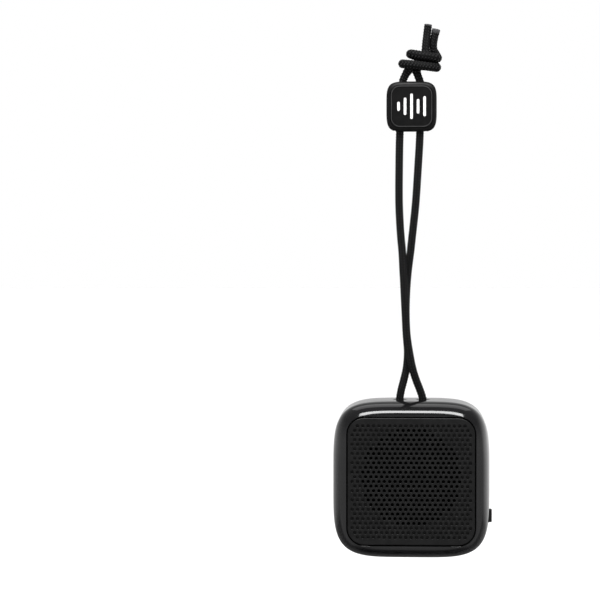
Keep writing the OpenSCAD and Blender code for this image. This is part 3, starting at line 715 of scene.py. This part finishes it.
def openingsInHousing(housing, look):
    buttonMid, pipeMid = boxCentre("power_button"), boxCentre("light_pipe")
    coverLow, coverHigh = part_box("port_cover")
    anchorLow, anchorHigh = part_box("cover_anchor")
    socketMid = boxCentre("usb_socket")
    innerX = caseHalf - caseLook["wall"]
    pastX = caseHalf + 1 * mm
    room, wide, tall = look["coverRoom"], look["plugHalfWide"], look["plugHalfTall"]
    cutters = [
        sideRod(buttonMid.y, buttonMid.z, look["buttonRadius"], innerX - 1 * mm, pastX, 0.15 * mm),
        sideRod(pipeMid.y, pipeMid.z, look["pipeRadius"], innerX - 1 * mm, pastX, 0.08 * mm, 32),
        roundedBlock((coverHigh.x - look["coverDeep"], coverLow.y - room, coverLow.z - room),
                     (pastX, anchorHigh.y + room, coverHigh.z + room), look["coverCorner"], 0),
        roundedBlock((innerX - 1 * mm, socketMid.y - wide, socketMid.z - tall),
                     (caseHalf, socketMid.y + wide, socketMid.z + tall), 0.9 * mm, 0),
        sideRod((anchorLow.y + anchorHigh.y) / 2, boxCentre("cover_anchor").z, look["stemRadius"],
                innerX - 1 * mm, caseHalf, sides=24),
    ]
    for side in (-1, 1):  # cord holes through the top wall, with softened rims
        x = side * rightStrandRoute[0][0] * mm
        hole = addRod("cordHole", look["cordRadius"], 6 * mm, (x, 0, caseHigh.z - 3 * mm))
        flareEnd(hole, (0, 0, 1), 0.35 * mm, 0.5 * mm, look["cordFlare"], (x, 0, caseHigh.z))
        cutters.append(hole)
    cutAway(housing, cutters)
    tidyMesh(housing, sharpest=30)


frontBezel = makeFrontBezel(bezelLook)
rearHousing = makeRearHousing()
openingsInHousing(rearHousing, openingLook)
print("case made", len(frontBezel.data.polygons), len(rearHousing.data.polygons))


# grille: a thick panel with rows of round holes, open before the loudspeaker and blind round it

grilleLook = {
    "edge": 0.3 * mm,
    "holeRadius": 0.53 * mm,
    "pitch": 1.7 * mm,
    "margin": 1.1 * mm,
    "openField": 15.7 * mm,
    "blindDepth": 0.75 * mm,
    "flare": 0.06 * mm,
    "sides": 12,
    "turn": 0.12,  # so that no corner of a hole lies level with a corner of the panel's outline
}


def punch(name, fromY, toY, look):
    # one hole's cutter: a rod whose front end widens
    flare, radius = look["flare"], look["holeRadius"]
    piece = addRod(name, radius, toY - fromY - flare, (0, (fromY + flare + toY) / 2, 0),
                   (math.pi / 2, look["turn"], 0), look["sides"])
    flareEnd(piece, (0, -1, 0), 0, 2 * flare, (radius + 2 * flare) / radius, (0, fromY - flare, 0))
    return piece


def copiesAt(piece, spots):
    # the piece's mesh repeated at each spot, as one mesh
    points = np.array([vert.co for vert in piece.data.vertices])
    faces = [tuple(face.vertices) for face in piece.data.polygons]
    allPoints = np.concatenate([points + np.array((x, 0, z)) for x, z in spots])
    allFaces = [tuple(v + k * len(points) for v in face) for k in range(len(spots)) for face in faces]
    piece.data.clear_geometry()
    piece.data.from_pydata(allPoints.tolist(), [], allFaces)
    return piece


def makeGrille(look):
    half, corner, edge = grilleHalf, bezelLook["corner"], look["edge"]
    frontFace, backFace = grilleLow.y, grilleHigh.y
    loops = [(backFace, roundedSquare(half, corner))]
    for k in range(7):
        turn = math.pi / 2 * k / 6
        inward = edge * (1 - math.cos(turn))
        loops.append((frontFace + edge * (1 - math.sin(turn)),
                      roundedSquare(half - inward, corner - inward)))
    grille = loopPiece("grillePanel", caseCentre, loops, count=128)
    pitch = look["pitch"]
    rowPitch = pitch * math.sqrt(3) / 2
    inset = (grilleHigh.x - grilleLow.x) / 2 - corner
    openSpots, blindSpots = [], []
    for row in range(-14, 15):
        for column in range(-14, 15):
            x, z = pitch * (column + (0.5 if row % 2 else 0)), row * rowPitch
            past = math.hypot(max(0, abs(x) - inset), max(0, abs(z) - inset))
            if past >= corner - look["margin"]:
                continue
            isOpen = math.hypot(x, z - bezelLook["soundLift"]) < look["openField"]
            (openSpots if isOpen else blindSpots).append((x + caseCentre.x, z + caseCentre.z))
    through = copiesAt(punch("openPunch", frontFace, backFace + 0.4 * mm, look), openSpots)
    shallow = copiesAt(punch("blindPunch", frontFace, frontFace + look["blindDepth"], look), blindSpots)
    cutAway(grille, [through, shallow])
    tidyMesh(grille, sharpest=40)
    print("grille holes", len(openSpots), "open", len(blindSpots), "blind")
    return grille


grillePanel = makeGrille(grilleLook)


# rear panel: a flat soft-touch plate with a softened edge

def makeRearPanel(look):
    panelLow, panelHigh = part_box("rear_panel")
    edge = look["edge"]
    loops = [(panelLow.y, panelOutline(-0.05 * mm))]
    for k in range(6):
        turn = math.pi / 2 * k / 5
        inward = edge * (1 - math.cos(turn))
        loops.append((panelHigh.y - edge * (1 - math.sin(turn)), panelOutline(-inward)))
    loops.append((panelHigh.y, panelOutline(-1.5 * mm)))
    return loopPiece("rearPanel", caseCentre, loops)


rearPanel = makeRearPanel(panelLook)
print("panels made", len(grillePanel.data.polygons), len(rearPanel.data.polygons))


# power button: a turned cap, slightly dished, with a small raised ring

def turnedPiece(name, profile, y, z, steps=64):
    # a line of points, each a place along X and a radius, spun about the button's axis
    pickNothing()
    mesh = bpy.data.meshes.new(name)
    points = [(x, y + radius, z) for x, radius in profile]
    mesh.from_pydata(points, [(k, k + 1) for k in range(len(points) - 1)], [])
    piece = bpy.data.objects.new(name, mesh)
    bpy.context.scene.collection.objects.link(piece)
    editPiece(piece)
    bpy.ops.mesh.select_all(action="SELECT")
    bpy.ops.mesh.spin(steps=steps, angle=2 * math.pi, center=(0, y, z), axis=(1, 0, 0))
    tidyMesh(piece, sharpest=30)
    return piece


buttonLook = {"radius": 2.9 * mm, "skirt": 3.7 * mm, "flange": 0.6 * mm}


def makeButton(look):
    low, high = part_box("power_button")
    middle = boxCentre("power_button")
    radius, skirt, flangeX = look["radius"], look["skirt"], low.x + look["flange"]
    face = high.x
    profile = [
        (low.x, 0), (low.x, skirt), (flangeX, skirt), (flangeX, radius),
        (face - 0.3 * mm, radius), (face - 0.16 * mm, radius - 0.05 * mm),
        (face - 0.05 * mm, radius - 0.17 * mm),
        (face, radius - 0.34 * mm), (face - 0.03 * mm, radius - 0.6 * mm), (face - 0.16 * mm, 1.7 * mm),
        (face - 0.2 * mm, 1.25 * mm), (face - 0.1 * mm, 1.15 * mm), (face - 0.1 * mm, 0.95 * mm),
        (face - 0.2 * mm, 0.85 * mm), (face - 0.22 * mm, 0.4 * mm), (face - 0.22 * mm, 0)]
    return turnedPiece("powerButton", profile, middle.y, middle.z)


powerButton = makeButton(buttonLook)


# cover over the charging socket: a soft lid with rounded corners, a finger tab and a plug behind it

coverLook = {
    "lidThick": 1 * mm,
    "corner": 1.2 * mm,
    "edge": 0.22 * mm,
    "tabLong": 1.6 * mm,
    "tabTall": 4.3 * mm,
    "tabDrop": 1.2 * mm,
    "tabEdge": 0.3 * mm,
    "plugHalfWide": 4 * mm,
    "plugHalfTall": 1.5 * mm,
}


def softenBlock(piece, width, segments=3):
    pickOnly(piece)
    applyModifier(piece, "BEVEL", width=width, segments=segments, limit_method="ANGLE",
                  angle_limit=math.radians(50))
    tidyMesh(piece)
    return piece


def makePortCover(look):
    low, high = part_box("port_cover")
    outerX = caseHalf - 0.04 * mm
    lidX = outerX - look["lidThick"]
    socketMid = boxCentre("usb_socket")
    lid = roundedBlock((lidX, low.y, low.z), (outerX, high.y, high.z), look["corner"], 0)
    softenBlock(lid, look["edge"])
    tabMidZ = socketMid.z - look["tabDrop"]
    tab = roundedBlock((outerX - 0.4 * mm, low.y + 0.02 * mm, tabMidZ - look["tabTall"] / 2),
                       (high.x, low.y + look["tabLong"], tabMidZ + look["tabTall"] / 2), 0.45 * mm, 0)
    softenBlock(tab, look["tabEdge"])
    wide, tall = look["plugHalfWide"], look["plugHalfTall"]
    plug = roundedBlock((low.x, socketMid.y - wide, socketMid.z - tall),
                        (lidX + 0.3 * mm, socketMid.y + wide, socketMid.z + tall), 0.8 * mm, 0)
    addTo(lid, [tab, plug])
    lid.name = lid.data.name = "portCover"
    tidyMesh(lid, sharpest=50)
    return lid


portCover = makePortCover(coverLook)
print("controls made", len(powerButton.data.polygons), len(portCover.data.polygons))


# materials

def grey(tone, tint=0.0):
    return tone, tone, tone + tint


def newMaterial(name, base, roughness, **sockets):
    material = bpy.data.materials.new(name)
    material.use_nodes = True
    tree = material.node_tree
    shader = tree.nodes["Principled BSDF"]
    shader.inputs["Base Color"].default_value = (*base, 1)
    shader.inputs["Roughness"].default_value = roughness
    for key, value in sockets.items():
        shader.inputs[key.replace("_", " ")].default_value = value
    return material


def addNode(material, kind, **inputs):
    node = material.node_tree.nodes.new(kind)
    for key, value in inputs.items():
        node.inputs[key.replace("_", " ")].default_value = value
    return node


def join(material, fromSocket, toSocket):
    material.node_tree.links.new(fromSocket, toSocket)


def shaderOf(material):
    return material.node_tree.nodes["Principled BSDF"]


def placeSocket(material, stretch=None):
    place = addNode(material, "ShaderNodeTexCoord").outputs["Object"]
    if stretch:
        mapping = addNode(material, "ShaderNodeMapping", Scale=stretch)
        join(material, place, mapping.inputs["Vector"])
        place = mapping.outputs["Vector"]
    return place


def noiseOn(material, scale, detail=3, stretch=None, place=None):
    node = addNode(material, "ShaderNodeTexNoise", Scale=scale, Detail=detail)
    join(material, place or placeSocket(material, stretch), node.inputs["Vector"])
    return node.outputs["Fac"]


def spread(material, value, low, high, fromLow=0.3, fromHigh=0.7):
    node = addNode(material, "ShaderNodeMapRange")
    for key, number in zip(("From Min", "From Max", "To Min", "To Max"), (fromLow, fromHigh, low, high)):
        node.inputs[key].default_value = number
    join(material, value, node.inputs["Value"])
    return node.outputs["Result"]


def calculate(material, kind, a, b=None):
    node = addNode(material, "ShaderNodeMath")
    node.operation = kind
    for k, value in enumerate((a, b)):
        if isinstance(value, (int, float)):
            node.inputs[k].default_value = value
        elif value is not None:
            join(material, value, node.inputs[k])
    return node.outputs[0]


def varyRoughness(material, value, low, high):
    join(material, spread(material, value, low, high), shaderOf(material).inputs["Roughness"])


def varyColour(material, value, first, second, fromLow=0.35, fromHigh=0.65):
    ramp = addNode(material, "ShaderNodeValToRGB")
    ramp.color_ramp.elements[0].position = fromLow
    ramp.color_ramp.elements[1].position = fromHigh
    ramp.color_ramp.elements[0].color = (*first, 1)
    ramp.color_ramp.elements[1].color = (*second, 1)
    join(material, value, ramp.inputs["Fac"])
    join(material, ramp.outputs["Color"], shaderOf(material).inputs["Base Color"])


def addBump(material, value, height, strength=1.0, under=None):
    bump = addNode(material, "ShaderNodeBump", Strength=strength, Distance=height)
    join(material, value, bump.inputs["Height"])
    if under:
        join(material, under.outputs["Normal"], bump.inputs["Normal"])
    join(material, bump.outputs["Normal"], shaderOf(material).inputs["Normal"])
    return bump


def glossShell():
    # polished moulded plastic: a faint ripple, and wipe marks that only show in the gloss
    material = newMaterial("glossShell", grey(0.0035, 0.0002), 0.1, IOR=1.5)
    wipes = noiseOn(material, 90, 5, stretch=(1, 1, 2.2))
    varyRoughness(material, wipes, 0.06, 0.15)
    varyColour(material, noiseOn(material, 35, 2), grey(0.003, 0.0002), grey(0.0042, 0.0003))
    addBump(material, noiseOn(material, 260, 2), 0.01 * mm, 0.35)
    return material


def grainPlastic(name, base, second, low, high, scale=5200, height=0.012 * mm, strength=0.5, shine=0.5):
    # spark-eroded mould grain
    material = newMaterial(name, base, (low + high) / 2, Specular_IOR_Level=shine)
    grain = noiseOn(material, scale, 2)
    varyRoughness(material, noiseOn(material, 160, 4), low, high)
    varyColour(material, noiseOn(material, 420, 3), base, second)
    addBump(material, grain, height, strength)
    return material


def braidMaterial():
    # woven yarns that cross at a slant round the cord, with fine loose fibres; the colour is painted dark in
    # the gaps between the yarns and between the slanting rows, as painted shade
    material = newMaterial("cordBraid", grey(0.004, 0.0002), 0.6, Specular_IOR_Level=0.07)
    pattern = addNode(material, "ShaderNodeUVMap")
    pattern.uv_map = "UVMap"
    parts = addNode(material, "ShaderNodeSeparateXYZ")
    join(material, pattern.outputs["UV"], parts.inputs["Vector"])

    def work(kind, a, b=None):
        return calculate(material, kind, a, b)

    girth = 2 * math.pi * cordLook["radius"]
    around = work("MULTIPLY", parts.outputs["X"], cordLook["bumpsRound"] * math.pi)
    along = work("MULTIPLY", parts.outputs["Y"], math.pi * girth / cordLook["bumpLength"] / 2)
    oneWay = work("COSINE", work("ADD", around, along))
    otherWay = work("COSINE", work("SUBTRACT", around, along))
    yarn = work("ABSOLUTE", work("MULTIPLY", oneWay, otherWay))
    rowAlong = work("MULTIPLY", parts.outputs["Y"], 2 * math.pi * girth / cordLook["ribLength"])
    rowAround = work("MULTIPLY", parts.outputs["X"], 2 * math.pi * cordLook["ribSlant"])
    rowWave = work("COSINE", work("ADD", rowAlong, rowAround))
    row = spread(material, rowWave, 1 - cordLook["ribShade"], 1, -1, 1)
    threads = work("SINE", work("MULTIPLY", work("ADD", around, along), 5))
    fibre = noiseOn(material, 46, 4, place=pattern.outputs["UV"])
    # painted shade: the colour darkens where the yarns dip and between the rows, with lighter crests flecked
    # by the fibres
    flecksAndGapShade = work("MULTIPLY", work("MULTIPLY", yarn, row), work("ADD", fibre, 0.15))
    shade = spread(material, flecksAndGapShade, 0, 1, 0.06, 0.5)
    ramp = addNode(material, "ShaderNodeValToRGB")
    ramp.color_ramp.elements[0].color = (0.0002, 0.0002, 0.0002, 1)
    ramp.color_ramp.elements[1].color = (0.019, 0.019, 0.0195, 1)
    join(material, shade, ramp.inputs["Fac"])
    burnt = addNode(material, "ShaderNodeAttribute")
    burnt.attribute_name = "singe"
    mix = addNode(material, "ShaderNodeMix")
    mix.data_type = "RGBA"
    mix.inputs[7].default_value = (0.12, 0.12, 0.125, 1)
    join(material, work("MULTIPLY", burnt.outputs["Fac"], fibre), mix.inputs[0])
    join(material, ramp.outputs["Color"], mix.inputs[6])
    join(material, mix.outputs[2], shaderOf(material).inputs["Base Color"])
    woven = addBump(material, yarn, 0.06 * mm, 0.6)
    addBump(material, work("ADD", threads, work("MULTIPLY", fibre, 3)), 0.012 * mm, 0.6, under=woven)
    return material


def inkMaterial():
    material = newMaterial("whiteInk", (0.5, 0.5, 0.49), 0.5)
    varyColour(material, noiseOn(material, 1500, 3), (0.42, 0.42, 0.415), (0.56, 0.56, 0.55))
    addBump(material, noiseOn(material, 5000, 2), 0.004 * mm, 0.4)
    return material


def metalFinish(name, base, second, low, high, stretch=(1, 1, 30), scale=900):
    # fine scratches in the direction that the metal was rolled or turned
    material = newMaterial(name, base, low, Metallic=1.0)
    scratches = noiseOn(material, scale, 5, stretch=stretch)
    varyRoughness(material, scratches, low, high)
    varyColour(material, scratches, base, second)
    addBump(material, scratches, 0.002 * mm, 0.4)
    return material


def weaveFinish(name, base, second, pitch, height, shine=0.4):
    # two sets of threads at right angles, in the plane that faces the front
    material = newMaterial(name, base, 0.85, Specular_IOR_Level=shine)
    place = placeSocket(material)
    waves = []
    for direction in ("X", "Z"):
        wave = addNode(material, "ShaderNodeTexWave", Scale=1 / pitch / 3.2)
        wave.bands_direction = direction
        join(material, place, wave.inputs["Vector"])
        waves.append(wave.outputs["Fac"])
    threads = calculate(material, "MULTIPLY", *waves)
    varyColour(material, threads, base, second, 0.1, 0.9)
    addBump(material, threads, height)
    return material


def paperFinish(name, base, second, roughness=0.85, scale=700):
    material = newMaterial(name, base, roughness)
    fibres = noiseOn(material, scale, 6, stretch=(1, 3, 1))
    varyColour(material, fibres, base, second)
    varyRoughness(material, fibres, roughness - 0.08, roughness + 0.05)
    addBump(material, fibres, 0.02 * mm, 0.5)
    return material


def boardFinish():
    # green solder mask over copper tracks
    material = newMaterial("boardMask", (0.012, 0.09, 0.035), 0.35)
    place = placeSocket(material)
    cells = addNode(material, "ShaderNodeTexBrick", Scale=420)
    join(material, place, cells.inputs["Vector"])
    cells.inputs["Color1"].default_value = (0.02, 0.15, 0.06, 1)
    cells.inputs["Color2"].default_value = (0.012, 0.1, 0.04, 1)
    cells.inputs["Mortar"].default_value = (0.03, 0.2, 0.08, 1)
    join(material, cells.outputs["Color"], shaderOf(material).inputs["Base Color"])
    varyRoughness(material, noiseOn(material, 300, 3), 0.25, 0.45)
    addBump(material, cells.outputs["Fac"], 0.01 * mm, 0.5)
    return material


def lensFinish(name, base):
    material = newMaterial(name, base, 0.2, IOR=1.49)
    varyRoughness(material, noiseOn(material, 900, 3), 0.15, 0.3)
    varyColour(material, noiseOn(material, 700, 2), base, tuple(0.85 * part for part in base))
    addBump(material, noiseOn(material, 1500, 2), 0.004 * mm, 0.4)
    return material


finishes = {
    "gloss_shell": glossShell(),
    "grille_plastic": grainPlastic("grillePlastic", grey(0.0026, 0.0001), grey(0.0042, 0.0001), 0.36, 0.5,
                                   2800, 0.02 * mm, 0.8, shine=0.18),
    "soft_panel": grainPlastic("softPanel", grey(0.0034, 0.0001), grey(0.004, 0.0001), 0.55, 0.66, 7500,
                               shine=0.22),
    "tag_rubber": grainPlastic("tagRubber", grey(0.0018, 0.0001), grey(0.003, 0.0001), 0.42, 0.55, 6500,
                               shine=0.15),
    "tag_plate": grainPlastic("tagPlateGrain", grey(0.0014, 0.0001), grey(0.0026, 0.0001), 0.38, 0.5,
                              3600, 0.016 * mm, 0.7, shine=0.13),
    "cord_braid": braidMaterial(),
    "control_rubber": grainPlastic("controlRubber", grey(0.003, 0.0001), grey(0.0045, 0.0002), 0.45, 0.6,
                                   shine=0.26),
    "seal_rubber": grainPlastic("sealRubber", grey(0.02, 0.001), grey(0.03, 0.001), 0.6, 0.8, 3000),
    "mesh_fabric": weaveFinish("meshFabric", grey(0.0004), grey(0.003), 0.25 * mm, 0.05 * mm, 0.12),
    "steel": metalFinish("zincSteel", (0.55, 0.56, 0.58), (0.42, 0.43, 0.46), 0.22, 0.42),
    "frame_metal": metalFinish("blackSteel", grey(0.09, 0.005), grey(0.06, 0.005), 0.35, 0.55, (1, 1, 1),
                               600),
    "ferrite": paperFinish("ferriteBlock", grey(0.05, 0.005), grey(0.08, 0.005), 0.6, 900),
    "fibre": paperFinish("fibreBoard", (0.28, 0.16, 0.07), (0.36, 0.22, 0.1)),
    "spider_fabric": weaveFinish("spiderCloth", (0.45, 0.3, 0.12), (0.6, 0.42, 0.2), 0.35 * mm,
                                 0.06 * mm),
    "cone_paper": paperFinish("conePaper", grey(0.03, 0.002), grey(0.05, 0.002)),
    "copper": metalFinish("copperWire", (0.85, 0.42, 0.2), (0.7, 0.3, 0.12), 0.2, 0.35, (1, 12, 1), 1500),
    "board": boardFinish(),
    "chip": grainPlastic("chipEpoxy", grey(0.02, 0.001), grey(0.03, 0.001), 0.45, 0.6, 4000),
    "part_tan": paperFinish("ceramicParts", (0.45, 0.33, 0.2), (0.55, 0.42, 0.28), 0.5, 1500),
    "plunger": lensFinish("plungerPlastic", (0.65, 0.63, 0.58)),
    "cell_foil": metalFinish("cellFoil", (0.7, 0.71, 0.73), (0.55, 0.56, 0.58), 0.25, 0.5, (1, 1, 1), 260),
    "foam": paperFinish("foamPad", grey(0.04, 0.002), grey(0.09, 0.005), 0.95, 1600),
    "tape": paperFinish("clothTape", (0.6, 0.58, 0.5), (0.7, 0.68, 0.6), 0.7, 1200),
    "wire_red": grainPlastic("redSleeve", (0.45, 0.02, 0.015), (0.55, 0.03, 0.02), 0.35, 0.5, 2500),
    "wire_white": grainPlastic("whiteSleeve", (0.6, 0.6, 0.58), (0.7, 0.7, 0.68), 0.35, 0.5, 2500),
    "led": lensFinish("lampResin", (0.8, 0.78, 0.6)),
    "lens": lensFinish("lampWindow", (0.07, 0.075, 0.08)),
}
inkFinish = inkMaterial()
# the inner faces of the gaps round the grille and the rear panel: an unpolished finish made extra dark and
# nearly without gloss so that the gaps read black, partly real matte and partly painted shade
gapShadeMatte = grainPlastic("gapShadeMatte", grey(0.0012), grey(0.0018), 0.8, 0.9, 2500, shine=0.04)
lineFinish = grainPlastic("plateLine", grey(0.012, 0.0002), grey(0.018, 0.0003), 0.3, 0.4, 3600,
                          0.01 * mm)


def paint(piece, material):
    piece.data.materials.clear()
    piece.data.materials.append(material)


for node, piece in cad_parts.items():
    slotName = piece.data.materials[0].name.split(".")[0]
    for k in range(len(piece.data.materials)):
        piece.data.materials[k] = finishes[slotName]
print("materials made", len(finishes) + 3)


# each new piece: its finish, the body it moves with, and the nodes it stands for

pieceTable = [
    (rightStrand, "cord_braid", "cord", ["cord_right", "cord_knot", "cord_tails"]),
    (leftStrand, "cord_braid", "cord", ["cord_left"]),
    (innerLoop, "cord_braid", "speaker", ["cord_loop"]),
    (tagBody, "tag_rubber", "tag", ["tag_body"]),
    (tagPlate, "tag_plate", "tag", ["tag_plate"]),
    (tagPrint, "tag_plate", "tag", []),
    (frontBezel, "gloss_shell", "speaker", ["front_bezel"]),
    (rearHousing, "gloss_shell", "speaker", ["rear_housing"]),
    (grillePanel, "grille_plastic", "speaker", ["grille"]),
    (rearPanel, "soft_panel", "speaker", ["rear_panel"]),
    (powerButton, "control_rubber", "button", ["power_button"]),
    (portCover, "control_rubber", "cover", ["port_cover"]),
]
for piece, finish, body, nodes in pieceTable:
    paint(piece, finishes[finish])
    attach(piece, body)
    if nodes:
        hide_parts(*nodes)
paint(tagPrint, inkFinish)


def paintInside(piece, material, test):
    piece.data.materials.append(material)
    for face in piece.data.polygons:
        if test(face.center):
            face.material_index = len(piece.data.materials) - 1


def withinOutline(middle, outline):
    across, up = middle.x - caseCentre.x, middle.z - caseCentre.z
    return math.hypot(across, up) < outline(math.atan2(up, across)) + 0.03 * mm


grilleGap = roundedSquare(grilleHalf + bezelLook["gap"], bezelLook["corner"] + bezelLook["gap"])
# the walls and floors of these gaps take the dark finish: painted shade where the gaps are deep
paintInside(frontBezel, gapShadeMatte,
            lambda middle: middle.y > frontY + 0.25 * mm and withinOutline(middle, grilleGap))
paintInside(rearHousing, gapShadeMatte,
            lambda middle: backY - 2 * mm < middle.y < backY - 0.3 * mm
            and withinOutline(middle, panelOutline(panelLook["gap"])))
tagPlate.data.materials.append(lineFinish)
for face in tagPlate.data.polygons:
    if face.normal.y < -0.99 and face.center.y < tagFrontY + 0.01 * mm:
        face.material_index = 1

print("pieces ride on their bodies")


# studio: white surroundings, a softbox overhead in front, a weaker one behind, and a pale floor below

studioLook = {
    "room": 1.2,
    "gloss": [  # height from straight down to straight up, and the glow that polished pieces see there
        (-1, 0.015), (-0.95, 0.05), (-0.82, 0.5), (-0.3, 0.64), (0, 0.7), (0.25, 0.42), (0.5, 0.2), (1, 0.2)],
    "rightGlow": 2.3,
    "lowBehind": 0.25,  # how much of the glow is left low down behind
    "floorDrop": 120 * mm,
    "floorTone": 0.925,
    "boxAway": 0.8,
    "frontTilt": 64.5,  # degrees above the horizon
    "backTilt": 52,
    "boxSize": (0.7, 0.36),
    "frontPower": 13.5,
    "backPower": 0.6,
}


def makeRoom(look):
    # polished pieces see a bright horizon that darkens overhead and, more, underneath
    world = bpy.data.worlds.new("studio")
    world.use_nodes = True
    bpy.context.scene.world = world
    background = world.node_tree.nodes["Background"]
    background.inputs["Color"].default_value = (1, 1, 1, 1)
    rays = addNode(world, "ShaderNodeLightPath")
    parts = addNode(world, "ShaderNodeSeparateXYZ")
    join(world, addNode(world, "ShaderNodeTexCoord").outputs["Generated"], parts.inputs["Vector"])
    ramp = addNode(world, "ShaderNodeValToRGB")
    stops = ramp.color_ramp.elements
    while len(stops) < len(look["gloss"]):
        stops.new(0.5)
    for stop, (upness, glow) in zip(stops, look["gloss"]):
        stop.position = (upness + 1) / 2
        stop.color = (glow, glow, glow, 1)
    join(world, spread(world, parts.outputs["Z"], 0, 1, -1, 1), ramp.inputs["Fac"])
    backRight = calculate(world, "ADD", parts.outputs["X"], parts.outputs["Y"])
    side = spread(world, backRight, 1, look["rightGlow"], 1.05, 1.35)
    low = spread(world, parts.outputs["Z"], 0, 1, -0.05, -0.25)
    behind = spread(world, parts.outputs["Y"], 0, 1 - look["lowBehind"], -0.1, 0.15)
    kept = calculate(world, "SUBTRACT", 1, calculate(world, "MULTIPLY", low, behind))
    glow = calculate(world, "MULTIPLY", calculate(world, "MULTIPLY", ramp.outputs["Color"], side), kept)
    strength = 1
    for rayKind, level in (("Is Diffuse Ray", look["room"]), ("Is Glossy Ray", glow)):
        mix = addNode(world, "ShaderNodeMix")
        join(world, rays.outputs[rayKind], mix.inputs[0])
        for socket, value in ((mix.inputs[2], strength), (mix.inputs[3], level)):
            if isinstance(value, (int, float)):
                socket.default_value = value
            else:
                join(world, value, socket)
        strength = mix.outputs[0]
    join(world, strength, background.inputs["Strength"])


def makeSoftbox(name, toBack, tiltAngle, power, look):
    tilt = math.radians(tiltAngle)
    target = caseCentre
    place = target + look["boxAway"] * Vector((0, toBack * math.cos(tilt), math.sin(tilt)))
    bpy.ops.object.light_add(type="AREA", location=place)
    light = bpy.context.object
    light.name = name
    light.rotation_euler = (target - place).to_track_quat("-Z", "Y").to_euler()
    light.data.shape = "RECTANGLE"
    light.data.size, light.data.size_y = look["boxSize"]
    light.data.energy = power
    return light


def makeFloor(look):
    bpy.ops.mesh.primitive_plane_add(size=60, location=(0, 0, cadLow.z - look["floorDrop"]))
    floor = namePiece("studioFloor")
    tone = look["floorTone"]
    material = newMaterial("floorPaint", grey(tone), 0.9)
    varyColour(material, noiseOn(material, 3, 2), grey(tone), grey(0.98 * tone))
    paint(floor, material)
    floor.visible_glossy = False


makeRoom(studioLook)
makeSoftbox("frontSoftbox", -1, studioLook["frontTilt"], studioLook["frontPower"], studioLook)
makeSoftbox("backSoftbox", 1, studioLook["backTilt"], studioLook["backPower"], studioLook)
makeFloor(studioLook)
bpy.context.scene.view_settings.view_transform = "Standard"
print("studio made")
